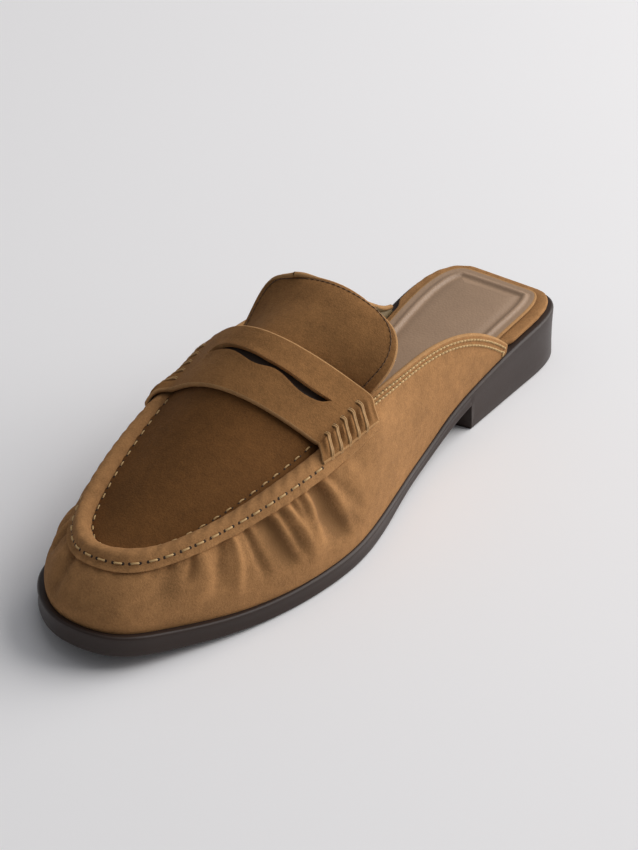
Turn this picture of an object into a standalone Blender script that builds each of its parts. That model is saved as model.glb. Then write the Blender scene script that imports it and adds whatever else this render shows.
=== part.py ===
"""Loafer mule, left shoe: a moccasin upper with a raised apron seam on a low moulded sole.

The origin lies on the floor under the middle of the sole. The toe points to -Y, the outer
(lateral) side of the foot to +X, and Z is up. Lengths are metres.
"""

import bmesh
import bpy
import numpy as np

# Main sizes
LENGTH = 0.268
BALL_WIDTH = 0.0902
INSTEP_HEIGHT = 0.0686
HEEL_HEIGHT = 0.0220
TOE_SPRING = 0.0069
SOLE_THICKNESS = 0.0070
TOE_THICKENING = 0.0012
WAIST_LIFT = 0.0108
WAIST_TWIST = 0.0024
HEEL_LENGTH = 0.0750
BREAST_SKEW = 0.14
BREAST_SLOPE = 0.00025
BREAST_CLEARANCE = 0.0040
WELT_AT_TOE = 0.0027
WELT_AT_SIDE = 0.0013
TREAD_ROUNDING = 0.0010
WELT_ROUNDING = 0.0005

# Materials' thicknesses and the gap that keeps two pieces apart
GAP = 0.0003
WALL = 0.0020
TONGUE_THICKNESS = 0.0022
STRAP_THICKNESS = 0.0020
STRAP_SKIVED = 0.6
STRAP_EASE = 0.0003
INSOLE_THICKNESS = 0.0020
SOCK_THICKNESS = 0.0010

# Apron seam: a rolled ridge above a short raw lip
ROLL_HEIGHT = 0.0031
ROLL_UNDER_STRAP = 0.4
LIP_THICKNESS = 0.0011
LIP_FOOT = 0.88
WALL_BULGE = 0.0015
MEDIAL_FALL = 0.15

# Footbed
INSOLE_MARGIN = 0.0023
INSOLE_ROUNDING = 0.0008
INSOLE_CLEARANCE = 0.0007
SOCK_MARGIN = 0.0068
SOCK_CHANNEL = 0.0045
SOCK_CHANNEL_DEPTH = 0.0005
SOCK_PAD_RISE = 0.0006

# The quarters end at this share of the length, and the plug and the strap at these ones
TAIL_ALONG = 0.332
THROAT_ALONG = -0.048
STRAP_FRONT = (-0.122, -0.130)
STRAP_BACK = (-0.017, -0.014)

# Sole edge. along: share of LENGTH from the middle, heel positive.
# lateral, medial: share of BALL_WIDTH from the centre line.
SOLE_HEEL = (0.500, 0.0)
SOLE_TOE = (-0.500, -0.028)
SOLE_EDGE = (
    # along, lateral, medial
    (0.496, 0.210, -0.203),
    (0.458, 0.297, -0.300),
    (0.373, 0.318, -0.319),
    (0.261, 0.324, -0.286),
    (0.166, 0.334, -0.265),
    (0.074, 0.375, -0.290),
    (-0.019, 0.440, -0.367),
    (-0.112, 0.491, -0.466),
    (-0.187, 0.488, -0.508),
    (-0.261, 0.451, -0.497),
    (-0.345, 0.376, -0.447),
    (-0.424, 0.273, -0.366),
    (-0.484, 0.154, -0.186),
)

# Top of the sole behind the ball, as a share of the rise to the heel seat, and the underside
# of the waist, as a share of WAIST_LIFT.
SEAT_RISE = (
    # along, share
    (-0.110, 0.0),
    (-0.010, 0.05),
    (0.060, 0.17),
    (0.135, 0.37),
    (0.187, 0.55),
    (0.280, 0.76),
    (0.392, 0.94),
    (0.500, 1.0),
)
WAIST_RISE = (
    # along, share
    (-0.080, 0.0),
    (-0.030, 0.08),
    (0.037, 0.36),
    (0.112, 0.63),
    (0.187, 0.88),
    (0.230, 1.0),
)

# Outer stitch line of the apron seam, which runs on through the quarters a little under their
# top edge. along: share of LENGTH. across: share of BALL_WIDTH. height: share of INSTEP_HEIGHT.
SEAM_TOE = (-0.439, -0.043, 0.470)
SEAM = (
    # along, lateral across, lateral height, medial across, medial height
    (0.332, 0.308, 0.310, -0.304, 0.305),
    (0.240, 0.318, 0.477, -0.327, 0.432),
    (0.151, 0.326, 0.574, -0.370, 0.566),
    (0.060, 0.344, 0.606, -0.417, 0.622),
    (-0.011, 0.386, 0.640, -0.441, 0.625),
    (-0.045, 0.406, 0.655, -0.440, 0.610),
    (-0.112, 0.399, 0.624, -0.440, 0.562),
    (-0.204, 0.366, 0.583, -0.416, 0.520),
    (-0.297, 0.297, 0.531, -0.364, 0.480),
    (-0.382, 0.200, 0.490, -0.270, 0.460),
    (-0.428, 0.093, 0.477, -0.156, 0.460),
)

# Inner edge of the apron seam, which runs on as the top edge of the quarters. Same columns.
EDGE_TOE = (-0.412, -0.050, 0.478)
EDGE = (
    # along, lateral across, lateral height, medial across, medial height
    (0.336, 0.304, 0.335, -0.299, 0.322),
    (0.310, 0.304, 0.420, -0.298, 0.365),
    (0.240, 0.306, 0.586, -0.323, 0.541),
    (0.151, 0.303, 0.684, -0.357, 0.675),
    (0.060, 0.317, 0.713, -0.402, 0.732),
    (-0.013, 0.320, 0.713, -0.428, 0.708),
    (-0.075, 0.315, 0.669, -0.410, 0.668),
    (-0.133, 0.306, 0.618, -0.398, 0.622),
    (-0.203, 0.287, 0.589, -0.369, 0.574),
    (-0.277, 0.245, 0.548, -0.315, 0.531),
    (-0.347, 0.167, 0.496, -0.248, 0.485),
    (-0.392, 0.077, 0.483, -0.169, 0.469),
)

# Arch of the plug over the foot. Each rung runs from edge to edge: along is where its ends
# stand, rise its height in the middle (share of INSTEP_HEIGHT), bow how far its middle lies
# toward the toe (share of LENGTH).
ARCH = (
    # along, rise, bow
    (-0.412, 0.004, 0.0),
    (-0.392, 0.016, 0.010),
    (-0.347, 0.045, 0.021),
    (-0.277, 0.088, 0.026),
    (-0.203, 0.148, 0.028),
    (-0.125, 0.233, 0.031),
    (-0.014, 0.296, 0.050),
    (0.060, 0.322, 0.055),
)

# Tongue behind the strap. Each rung runs from its lateral to its medial edge, given by along,
# across and height; rise and bow are those of its middle, as in ARCH.
TONGUE = (
    # lateral along, across, height, medial along, across, height, rise, bow
    (-0.025, 0.286, 0.660, -0.025, -0.370, 0.660, 0.345, 0.033),
    (-0.006, 0.345, 0.800, 0.002, -0.352, 0.765, 0.279, 0.008),
    (0.017, 0.363, 0.897, 0.028, -0.345, 0.870, 0.200, 0.010),
    (0.041, 0.317, 1.000, 0.043, -0.305, 1.000, 0.112, 0.006),
    (0.052, 0.200, 1.070, 0.044, -0.215, 1.105, 0.037, -0.008),
)
TONGUE_TUCK = 0.92

# Slot in the strap. across: share of the half width from the middle, lateral positive.
# back, front: share of the strap from its front edge to its back edge.
SLOT = (
    # across, back, front
    (-0.62, 0.50, 0.48),
    (-0.55, 0.61, 0.51),
    (-0.40, 0.66, 0.55),
    (-0.20, 0.65, 0.55),
    (0.02, 0.63, 0.48),
    (0.15, 0.61, 0.48),
    (0.28, 0.60, 0.52),
    (0.42, 0.59, 0.49),
    (0.60, 0.57, 0.43),
    (0.76, 0.58, 0.48),
    (0.82, 0.60, 0.57),
)

# How finely the curved forms are cut
QUARTER_STATIONS = 11
APRON_STATIONS = 22
PLUG_COLUMNS = 12
SOLE_STATIONS = 40
WALL_ROWS = (0.0, 0.12, 0.27, 0.43, 0.60, 0.76)
ROLL_ROWS = (0.0, 0.10, 0.27, 0.47, 0.67, 0.85, 1.0)
LINING_WALL_ROWS = (0.0, 0.27, 0.55, 0.80)
LINING_ROLL_ROWS = (0.0, 1.0)
STRAP_ROLL_ROWS = (0.0, 0.12, 0.27, 0.47, 0.67, 0.86)
END_COLUMNS = len(STRAP_ROLL_ROWS)

MATERIALS = {
    # name: base colour, roughness
    "suede": ((0.31, 0.17, 0.075, 1.0), 0.92),
    "sole": ((0.030, 0.020, 0.017, 1.0), 0.48),
    "sock leather": ((0.37, 0.25, 0.165, 1.0), 0.55),
}


# Curves


def cubic(knots, points, closed, at):
    """Cubic spline through points at the knots, read at the given places."""
    count = len(knots) - 1
    step = np.diff(knots)
    slope = np.diff(points, axis=0) / step[:, None]
    system = np.zeros((count + 1, count + 1))
    right = np.zeros((count + 1, points.shape[1]))
    for i in range(1, count):
        system[i, i - 1 : i + 2] = (step[i - 1], 2 * (step[i - 1] + step[i]), step[i])
        right[i] = 6 * (slope[i] - slope[i - 1])
    if closed:
        system[0, [0, 1]] = (2 * (step[-1] + step[0]), step[0])
        system[0, count - 1] += step[-1]
        right[0] = 6 * (slope[0] - slope[-1])
        system[count, [0, count]] = (1, -1)
    else:
        system[0, 0] = 1
        system[count, count] = 1
    bend = np.linalg.solve(system, right)
    i = np.clip(np.searchsorted(knots, at, side="right") - 1, 0, count - 1)
    near = (at - knots[i])[:, None]
    far = (knots[i + 1] - at)[:, None]
    width = step[i][:, None]
    return (
        (bend[i] * far**3 + bend[i + 1] * near**3) / (6 * width)
        + (points[i] / width - bend[i] * width / 6) * far
        + (points[i + 1] / width - bend[i + 1] * width / 6) * near
    )


def smooth_line(points, closed=False, fineness=40):
    """Dense polyline on a smooth curve through the points."""
    points = np.array(points, float)
    if closed:
        points = np.vstack([points, points[:1]])
    gaps = np.linalg.norm(np.diff(points, axis=0), axis=1)
    knots = np.r_[0.0, np.cumsum(np.sqrt(gaps))]
    at = np.linspace(0, knots[-1], fineness * (len(points) - 1) + 1)
    return cubic(knots, points, closed, at)


def graph(rows, column):
    """Function of along that reads a column of a table smoothly, flat beyond its ends."""
    line = smooth_line([(row[0], row[column]) for row in rows])
    order = np.argsort(line[:, 0])
    return lambda along: np.interp(along, line[order, 0], line[order, 1])


class SideLine:
    """Curve from the lateral tail round the toe to the medial tail, read by u from 0 to 1.

    u is 0.5 at the toe, and each half is measured by its own length.
    """

    def __init__(self, line, toe_index):
        self.line = line
        travelled = np.r_[0.0, np.cumsum(np.linalg.norm(np.diff(line, axis=0), axis=1))]
        toe = travelled[toe_index]
        first = 0.5 * travelled / toe
        second = 0.5 + 0.5 * (travelled - toe) / (travelled[-1] - toe)
        self.u = np.where(travelled <= toe, first, second)

    def at(self, u):
        return np.stack([np.interp(u, self.u, axis) for axis in self.line.T], -1)

    def u_at_along(self, along, lateral):
        half = self.u <= 0.5 if lateral else self.u >= 0.5
        order = np.argsort(self.line[half, 1])
        return float(np.interp(along * LENGTH, self.line[half, 1][order], self.u[half][order]))


def side_line(rows, toe):
    """SideLine through a table of lateral and medial points and its toe point."""
    scale = np.array([BALL_WIDTH, LENGTH, INSTEP_HEIGHT])
    lateral = [(row[1], row[0], row[2]) for row in rows]
    medial = [(row[3], row[0], row[4]) for row in reversed(rows)]
    points = np.array(lateral + [(toe[1], toe[0], toe[2])] + medial) * scale
    fineness = 40
    return SideLine(smooth_line(points, fineness=fineness), fineness * len(rows))


# Sole edge and sole heights


def sole_outline():
    """Closed plan outline of the sole, from the heel along the lateral side."""
    lateral = [(row[1] * BALL_WIDTH, row[0] * LENGTH) for row in SOLE_EDGE]
    medial = [(row[2] * BALL_WIDTH, row[0] * LENGTH) for row in reversed(SOLE_EDGE)]
    heel = (SOLE_HEEL[1] * BALL_WIDTH, SOLE_HEEL[0] * LENGTH)
    toe = (SOLE_TOE[1] * BALL_WIDTH, SOLE_TOE[0] * LENGTH)
    return smooth_line([heel] + lateral + [toe] + medial, closed=True)[:-1]


OUTLINE = sole_outline()
TOE_INDEX = int(np.argmin(OUTLINE[:, 1]))
HEEL_INDEX = int(np.argmax(OUTLINE[:, 1]))
BREAST_Y = 0.5 * LENGTH - HEEL_LENGTH
seat_share = graph(SEAT_RISE, 1)
waist_share = graph(WAIST_RISE, 1)


def edge_x(y, side):
    """x of the sole's edge at y, on the lateral (1) or the medial (-1) side."""
    part = OUTLINE[: TOE_INDEX + 1] if side > 0 else np.vstack([OUTLINE[TOE_INDEX:], OUTLINE[:1]])
    order = np.argsort(part[:, 1])
    return np.interp(y, part[order, 1], part[order, 0])


def smooth_step(value, low, high):
    share = np.clip((value - low) / (high - low), 0, 1)
    return share * share * (3 - 2 * share)


def twist(x, y):
    """The waist is higher on the medial side."""
    middle = 0.127 * LENGTH
    reach = 0.09 * LENGTH
    return -WAIST_TWIST * np.exp(-(((y - middle) / reach) ** 2)) * x / (0.3 * BALL_WIDTH)


def toe_lift(y):
    """Toe spring: the forepart leaves the floor in front of the tread."""
    start = -0.224 * LENGTH
    reach = 0.5 * LENGTH + start
    return TOE_SPRING * (np.clip(start - y, 0, None) / reach) ** 2


def sole_top(x, y):
    thickness = SOLE_THICKNESS + TOE_THICKENING * smooth_step(-y, 0.3 * LENGTH, 0.5 * LENGTH)
    seat = (HEEL_HEIGHT - SOLE_THICKNESS) * seat_share(y / LENGTH)
    return toe_lift(y) + thickness + seat + twist(x, y)


def sole_bottom(x, y):
    """Underside of the sole in front of the heel's breast."""
    share = waist_share(y / LENGTH)
    return toe_lift(y) + WAIST_LIFT * share + twist(x, y) * smooth_step(share, 0, 0.4)


def inset(loop, distance):
    """Closed plan loop moved inward by a distance, one value or one for each point."""
    along = np.roll(loop, -1, 0) - np.roll(loop, 1, 0)
    along /= np.linalg.norm(along, axis=1)[:, None]
    outward = np.stack([along[:, 1], -along[:, 0]], -1)
    if np.sum((loop - loop.mean(0)) * outward) < 0:
        outward = -outward
    return loop - outward * np.reshape(distance, (-1, 1))


def welt_margin(y):
    """How far the upper stands back from the sole's edge."""
    toe = smooth_step(-y, 0.2 * LENGTH, 0.42 * LENGTH)
    return WELT_AT_SIDE + (WELT_AT_TOE - WELT_AT_SIDE) * toe


def upper_foot():
    """SideLine on the sole's ledge where the upper stands."""
    plan = inset(OUTLINE, welt_margin(OUTLINE[:, 1]))
    first = int(np.argmin(np.abs(plan[:TOE_INDEX, 1] - TAIL_ALONG * LENGTH)))
    last = TOE_INDEX + int(np.argmin(np.abs(plan[TOE_INDEX:, 1] - TAIL_ALONG * LENGTH)))
    plan = plan[first : last + 1]
    height = sole_top(plan[:, 0], plan[:, 1]) + GAP
    return SideLine(np.column_stack([plan, height]), TOE_INDEX - first)


FOOT = upper_foot()
SEAM_LINE = side_line(SEAM, SEAM_TOE)
EDGE_LINE = side_line(EDGE, EDGE_TOE)
arch_rise = graph(ARCH, 1)
arch_bow = graph(ARCH, 2)


# Surface of the upper


def outward_at(u):
    """Level unit vectors that point out of the shoe from its foot line."""
    ahead = FOOT.at(np.clip(u + 0.004, 0, 1)) - FOOT.at(np.clip(u - 0.004, 0, 1))
    level = np.stack([-ahead[..., 1], ahead[..., 0], 0 * ahead[..., 0]], -1)
    return level / np.linalg.norm(level, axis=-1)[..., None]


def wall_point(u, v):
    """Side wall from the foot line (v 0) to the seam line (v 1), as a rounded section."""
    foot = FOOT.at(u)
    seam = SEAM_LINE.at(u)
    out = outward_at(u)
    rise = (seam - foot)[..., 2:] * np.array([0, 0, 1.0])
    inward = -np.sum((seam - foot) * out, -1)[..., None]
    lean_in = np.clip(inward, 0, None)
    lean_out = np.clip(-inward, 0, None)
    bulge = WALL_BULGE * np.clip(rise[..., 2:] / (0.3 * INSTEP_HEIGHT), 0, 1)
    low = foot + 0.45 * rise + out * (bulge + 0.45 * lean_out)
    high = seam - 0.20 * rise + out * (0.38 * lean_in + 0.8 * bulge - 0.1 * lean_out)
    v = np.reshape(v, np.shape(v) + (1,))
    return (
        foot * (1 - v) ** 3
        + 3 * low * v * (1 - v) ** 2
        + 3 * high * v**2 * (1 - v)
        + seam * v**3
    )


def roll_point(u, q):
    """Band from the seam line (q 0) to its inner edge (q 1), without its roll."""
    q = np.reshape(q, np.shape(q) + (1,))
    return SEAM_LINE.at(u) * (1 - q) + EDGE_LINE.at(u) * q


def roll_up(u):
    """Unit vectors that stand on the band between the seam line and its inner edge."""
    across = EDGE_LINE.at(u) - SEAM_LINE.at(u)
    ahead = SEAM_LINE.at(np.clip(u + 0.004, 0, 1)) - SEAM_LINE.at(np.clip(u - 0.004, 0, 1))
    up = np.cross(ahead, across)
    up /= np.linalg.norm(up, axis=-1)[..., None]
    return up * np.sign(np.sum(up * (outward_at(u) + np.array([0, 0, 1.0])), -1))[..., None]


def roll_share(u):
    """The seam's roll and lip sink under the strap and die out at its back corner."""
    ahead = -EDGE_LINE.at(u)[..., 1] / LENGTH
    full = smooth_step(ahead, 0.075, 0.128)
    sunk = ROLL_UNDER_STRAP * smooth_step(ahead, 0.012, 0.040)
    return sunk + (1 - ROLL_UNDER_STRAP) * full


def roll_height(q):
    """Section of the roll, fuller toward its outer side, over the lip at its foot."""
    skewed = q**0.85
    return ROLL_HEIGHT * (1 - np.abs(2 * skewed - 1) ** 2.4) + LIP_THICKNESS * (1 - q) ** 3


def crown(s):
    """Cross-section of the foot's arch between two sides; it falls off faster on the medial."""
    return (4 * s * (1 - s)) ** (1 + MEDIAL_FALL * (s > 0.5))


def rung_point(u_lateral, u_medial, s):
    """Plug between two points of the inner edge; s runs from 0, lateral, to 1, medial."""
    lateral = EDGE_LINE.at(u_lateral)
    medial = EDGE_LINE.at(u_medial)
    along = (lateral + medial)[..., 1:2] / (2 * LENGTH)
    s = np.reshape(s, np.shape(s) + (1,))
    point = lateral * (1 - s) + medial * s
    up = crown(s) * INSTEP_HEIGHT * arch_rise(along)
    forward = crown(s) * LENGTH * arch_bow(along)
    return point + np.concatenate([0 * up, -forward, up], -1)


# Meshes


def make_object(name, vertices, faces, material):
    mesh = bpy.data.meshes.new(name)
    shape = bmesh.new()
    corners = [shape.verts.new(vertex) for vertex in vertices]
    for face in faces:
        shape.faces.new([corners[i] for i in face])
    bmesh.ops.recalc_face_normals(shape, faces=shape.faces[:])
    bmesh.ops.triangulate(shape, faces=shape.faces[:])
    shape.to_mesh(mesh)
    shape.free()
    mesh.shade_smooth()
    mesh.set_sharp_from_angle(angle=np.radians(40))
    piece = bpy.data.objects.new(name, mesh)
    piece.data.materials.append(material)
    bpy.context.scene.collection.objects.link(piece)
    return piece


def make_material(name):
    colour, roughness = MATERIALS[name]
    material = bpy.data.materials.new(name)
    material.use_nodes = True
    shader = material.node_tree.nodes["Principled BSDF"]
    shader.inputs["Base Color"].default_value = colour
    shader.inputs["Roughness"].default_value = roughness
    shader.inputs["Metallic"].default_value = 0.0
    return material


def vertex_normals(vertices, faces):
    """Average normals of the faces round each vertex."""
    normals = np.zeros_like(vertices)
    for face in faces:
        for i in range(1, len(face) - 1):
            corner = (face[0], face[i], face[i + 1])
            a, b, c = vertices[list(corner)]
            area = np.cross(b - a, c - a)
            for index in corner:
                normals[index] += area
    return normals / np.linalg.norm(normals, axis=1)[:, None]


def ribbon(first, second, vertices):
    """Triangles between two index chains that may differ in count."""
    faces = []
    i = 0
    j = 0
    while i < len(first) - 1 or j < len(second) - 1:
        step_first = i < len(first) - 1
        if step_first and j < len(second) - 1:
            ahead = np.linalg.norm(vertices[first[i + 1]] - vertices[second[j]])
            behind = np.linalg.norm(vertices[first[i]] - vertices[second[j + 1]])
            step_first = ahead <= behind
        if step_first:
            faces.append((first[i], first[i + 1], second[j]))
            i += 1
        else:
            faces.append((first[i], second[j + 1], second[j]))
            j += 1
    return faces


def close_shell(outer, inner, rims, outer_faces, inner_faces):
    """One solid from two sheets and the pairs of chains that bound them."""
    vertices = np.vstack([outer, inner])
    shift = len(outer)
    faces = list(outer_faces)
    faces += [tuple(i + shift for i in reversed(face)) for face in inner_faces]
    for first, second in rims:
        faces += ribbon(first, [i + shift for i in second], vertices)
    return vertices, faces


def grid_faces(rows, columns):
    return [
        (r * columns + c, r * columns + c + 1, (r + 1) * columns + c + 1, (r + 1) * columns + c)
        for r in range(rows - 1)
        for c in range(columns - 1)
    ]


def grid_rims(rows, columns):
    """The four sides of a grid as index chains."""
    return [
        [c for c in range(columns)],
        [r * columns + columns - 1 for r in range(rows)],
        [(rows - 1) * columns + c for c in reversed(range(columns))],
        [r * columns for r in reversed(range(rows))],
    ]


def shell_from_grid(outer, inner):
    """Solid between two sheets of the same rows and columns."""
    rows, columns = outer.shape[:2]
    faces = grid_faces(rows, columns)
    sides = grid_rims(rows, columns)
    rims = [(side, side) for side in sides]
    return close_shell(outer.reshape(-1, 3), inner.reshape(-1, 3), rims, faces, faces)


# Outsole


def ladder_rows(count, start, end):
    """Places from start to end, closer together toward both ends."""
    turn = np.linspace(0, np.pi, count + 2)[1:-1]
    return 0.5 * (start + end) - 0.5 * (end - start) * np.cos(turn)


def ring_of(y_rows):
    """Closed plan loop of the sole's edge: lateral side toe to heel, then medial side back.

    Near the heel's breast its rungs lie askew, as the breast does.
    """
    near = np.exp(-(((y_rows - BREAST_Y) / (0.35 * HEEL_LENGTH)) ** 2))
    sides = []
    for side in (1, -1):
        y = y_rows + BREAST_SKEW * edge_x(y_rows, side) * near
        sides.append(np.column_stack([edge_x(y, side), y]))
    return np.vstack([sides[0], sides[1][::-1]])


def ladder_solid(rings):
    """Solid from stacked closed rings whose points pair up from side to side."""
    count = len(rings[0])
    half = count // 2
    faces = []
    for level in range(len(rings) - 1):
        for i in range(count):
            j = (i + 1) % count
            low = level * count
            high = low + count
            faces.append((low + i, low + j, high + j, high + i))
    for start in (0, (len(rings) - 1) * count):
        for i in range(half - 1):
            mate = count - 1 - i
            faces.append((start + i, start + i + 1, start + mate - 1, start + mate))
    return np.vstack(rings), faces


def lifted(plan, height):
    return np.column_stack([plan, height(plan[:, 0], plan[:, 1])])


def make_outsole(material):
    y_rows = ladder_rows(SOLE_STATIONS, -0.5 * LENGTH, 0.5 * LENGTH)
    y_rows = y_rows[np.abs(y_rows - BREAST_Y) > BREAST_CLEARANCE]
    y_rows = np.sort(np.r_[y_rows, BREAST_Y - BREAST_SLOPE, BREAST_Y + BREAST_SLOPE])
    ring = ring_of(y_rows)
    behind = np.r_[y_rows, y_rows[::-1]] > BREAST_Y

    def tread(plan, clearance):
        floor = np.where(behind, 0.0, sole_bottom(plan[:, 0], plan[:, 1]))
        return np.column_stack([plan, floor + clearance])

    rings = [
        tread(inset(ring, TREAD_ROUNDING), 0.0),
        tread(ring, TREAD_ROUNDING),
        lifted(ring, lambda x, y: sole_top(x, y) - WELT_ROUNDING),
        lifted(inset(ring, WELT_ROUNDING), sole_top),
    ]
    vertices, faces = ladder_solid(rings)
    return make_object("outsole", vertices, faces, material)


# Footbed


def footbed_ring(margin_inside, margin_at_heel):
    """Closed plan ring inside the upper that widens to the sole's edge behind the quarters."""
    ring = ring_of(ladder_rows(SOLE_STATIONS, -0.5 * LENGTH, 0.5 * LENGTH))
    open_heel = smooth_step(ring[:, 1], (TAIL_ALONG + 0.004) * LENGTH, (TAIL_ALONG + 0.03) * LENGTH)
    margin = margin_inside + (margin_at_heel - margin_inside) * open_heel
    return inset(ring, margin + (1 - open_heel) * welt_margin(ring[:, 1]))


def make_insole(material):
    beside_wall = WALL + GAP + INSOLE_CLEARANCE

    def ring(extra, height):
        plan = footbed_ring(beside_wall + extra, INSOLE_MARGIN + extra)
        return lifted(plan, lambda x, y: sole_top(x, y) + height)

    bottom = GAP
    top = bottom + INSOLE_THICKNESS
    rings = [
        ring(0.5 * INSOLE_ROUNDING, bottom),
        ring(0.0, bottom + INSOLE_ROUNDING),
        ring(0.3 * INSOLE_ROUNDING, top - 0.3 * INSOLE_ROUNDING),
        ring(INSOLE_ROUNDING, top),
    ]
    vertices, faces = ladder_solid(rings)
    return make_object("insole", vertices, faces, material)


def make_sock(material):
    edge = ring_of(ladder_rows(SOLE_STATIONS, -0.5 * LENGTH, 0.5 * LENGTH))
    base = GAP + INSOLE_THICKNESS + GAP

    def ring(extra, height):
        plan = inset(edge, SOCK_MARGIN + extra)
        return lifted(plan, lambda x, y: sole_top(x, y) + base + height)

    rings = [
        ring(0.0, 0.0),
        ring(0.0, SOCK_THICKNESS),
        ring(SOCK_CHANNEL, SOCK_THICKNESS),
        ring(1.3 * SOCK_CHANNEL, SOCK_THICKNESS - SOCK_CHANNEL_DEPTH),
        ring(1.7 * SOCK_CHANNEL, SOCK_THICKNESS + SOCK_PAD_RISE),
    ]
    vertices, faces = ladder_solid(rings)
    return make_object("sock", vertices, faces, material)


# Upper


def upper_stations():
    """u of every station, and the index of the toe one."""
    lateral_throat = EDGE_LINE.u_at_along(THROAT_ALONG, True)
    medial_throat = EDGE_LINE.u_at_along(THROAT_ALONG, False)
    lateral_quarter = np.linspace(0, lateral_throat, QUARTER_STATIONS + 1)
    lateral_apron = np.linspace(lateral_throat, 0.5, APRON_STATIONS + 1)
    medial_apron = np.linspace(0.5, medial_throat, APRON_STATIONS + 1)
    medial_quarter = np.linspace(medial_throat, 1, QUARTER_STATIONS + 1)
    pieces = (lateral_quarter, lateral_apron[1:], medial_apron[1:], medial_quarter[1:])
    return np.concatenate(pieces), QUARTER_STATIONS + APRON_STATIONS


def plug_grid(columns):
    """Rungs of the plug without their end points: one row for each station behind the toe."""
    stations, toe = upper_stations()
    k = np.arange(1, APRON_STATIONS + 1)
    s = np.linspace(0, 1, columns + 1)[1:-1]
    lateral = stations[toe - k][:, None]
    medial = stations[toe + k][:, None]
    return rung_point(lateral + 0 * s, medial + 0 * s, s + 0 * lateral)


def upper_sheet(bands, plug):
    """Vertices, faces and rims of one skin of the upper.

    bands holds a row of points for each station, from foot to edge. The plug's rungs join the
    stations on both sides of the toe.
    """
    stations, rows = bands.shape[:2]
    toe = QUARTER_STATIONS + APRON_STATIONS
    inner_columns = plug.shape[1]
    vertices = np.vstack([bands.reshape(-1, 3), plug.reshape(-1, 3)])
    faces = grid_faces(stations, rows)

    def rung(k):
        lateral = (toe - k) * rows + rows - 1
        medial = (toe + k) * rows + rows - 1
        if k == 0:
            return [lateral]
        first = stations * rows + (k - 1) * inner_columns
        return [lateral] + list(range(first, first + inner_columns)) + [medial]

    for k in range(1, APRON_STATIONS + 1):
        near = rung(k - 1)
        far = rung(k)
        if k == 1:
            faces += [(near[0], far[i], far[i + 1]) for i in range(len(far) - 1)]
        else:
            faces += [(near[i], far[i], far[i + 1], near[i + 1]) for i in range(len(far) - 1)]
    foot = [i * rows for i in range(stations)]
    medial_tail = [(stations - 1) * rows + r for r in range(rows)]
    first_open = toe + APRON_STATIONS
    medial_top = [i * rows + rows - 1 for i in reversed(range(first_open, stations))]
    throat = list(reversed(rung(APRON_STATIONS)))
    lateral_top = [i * rows + rows - 1 for i in reversed(range(toe - APRON_STATIONS + 1))]
    lateral_tail = [r for r in reversed(range(rows))]
    return vertices, faces, [foot, medial_tail, medial_top, throat, lateral_top, lateral_tail]


def outer_bands():
    """Outer skin of the side wall, the lip and the roll, one row of points a station."""
    stations, _ = upper_stations()
    u = stations[:, None]
    share = roll_share(u)[..., None]
    wall_rows = np.r_[np.array(WALL_ROWS), LIP_FOOT]
    wall = wall_point(u + 0 * wall_rows, wall_rows + 0 * u)
    up = roll_up(u)
    out = outward_at(u)
    lean = 0.5 * (up + out)
    lip_low = wall_point(u, 0 * u + 0.5 * (1 + LIP_FOOT)) + share * LIP_THICKNESS * out
    lip_low = lip_low - share * 0.25 * (1 - LIP_FOOT) * (SEAM_LINE.at(u) - FOOT.at(u))
    roll_rows = np.array(ROLL_ROWS)
    height = share * roll_height(roll_rows + 0 * u)[..., None]
    direction = np.where(roll_rows[None, :, None] < 0.05, lean, up)
    roll = roll_point(u + 0 * roll_rows, roll_rows + 0 * u) + height * direction
    return np.concatenate([wall, lip_low, roll], 1)


def lining_bands():
    """Middle of nothing but the plain form: the rows that the lining is set off from."""
    stations, _ = upper_stations()
    u = stations[:, None]
    wall_rows = np.array(LINING_WALL_ROWS)
    roll_rows = np.array(LINING_ROLL_ROWS)
    wall = wall_point(u + 0 * wall_rows, wall_rows + 0 * u)
    roll = roll_point(u + 0 * roll_rows, roll_rows + 0 * u)
    return np.concatenate([wall, roll], 1)


def make_upper(material):
    plug = plug_grid(PLUG_COLUMNS)
    outer, outer_faces, outer_rims = upper_sheet(outer_bands(), plug)
    form, lining_faces, lining_rims = upper_sheet(lining_bands(), plug)
    normals = vertex_normals(form, lining_faces)
    foot = lining_rims[0]
    normals[foot, 2] = 0
    normals[foot] /= np.linalg.norm(normals[foot], axis=1)[:, None]
    lining = form - WALL * normals
    lining[foot, 2] = sole_top(lining[foot, 0], lining[foot, 1]) + GAP
    rims = list(zip(outer_rims, lining_rims))
    vertices, faces = close_shell(outer, lining, rims, outer_faces, lining_faces)
    return make_object("upper", vertices, faces, material)


# Saddle strap


def strap_bed(r, columns):
    """Points across the shoe that the strap lies on, and how much each stands over the form.

    r is 0 at the strap's front edge and 1 at its back edge.
    """
    ends = [
        EDGE_LINE.u_at_along((1 - r) * STRAP_FRONT[side] + r * STRAP_BACK[side], side == 0)
        for side in (0, 1)
    ]
    roll_rows = np.array(STRAP_ROLL_ROWS)
    sides = []
    for u in ends:
        lift = roll_height(roll_rows) + 0.15 * ROLL_HEIGHT * roll_rows
        over = roll_share(np.array(u)) * lift + STRAP_EASE
        sides.append((roll_point(u + 0 * roll_rows, roll_rows), over))
    s = np.linspace(0, 1, columns)
    plug = rung_point(ends[0] + 0 * s, ends[1] + 0 * s, s)
    hollow = 0.10 * ROLL_HEIGHT * np.exp(-(((s * (1 - s)) / 0.03) ** 2))
    points = np.vstack([sides[0][0], plug, sides[1][0][::-1]])
    over = np.r_[sides[0][1], hollow, sides[1][1][::-1]]
    return points, over


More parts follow.
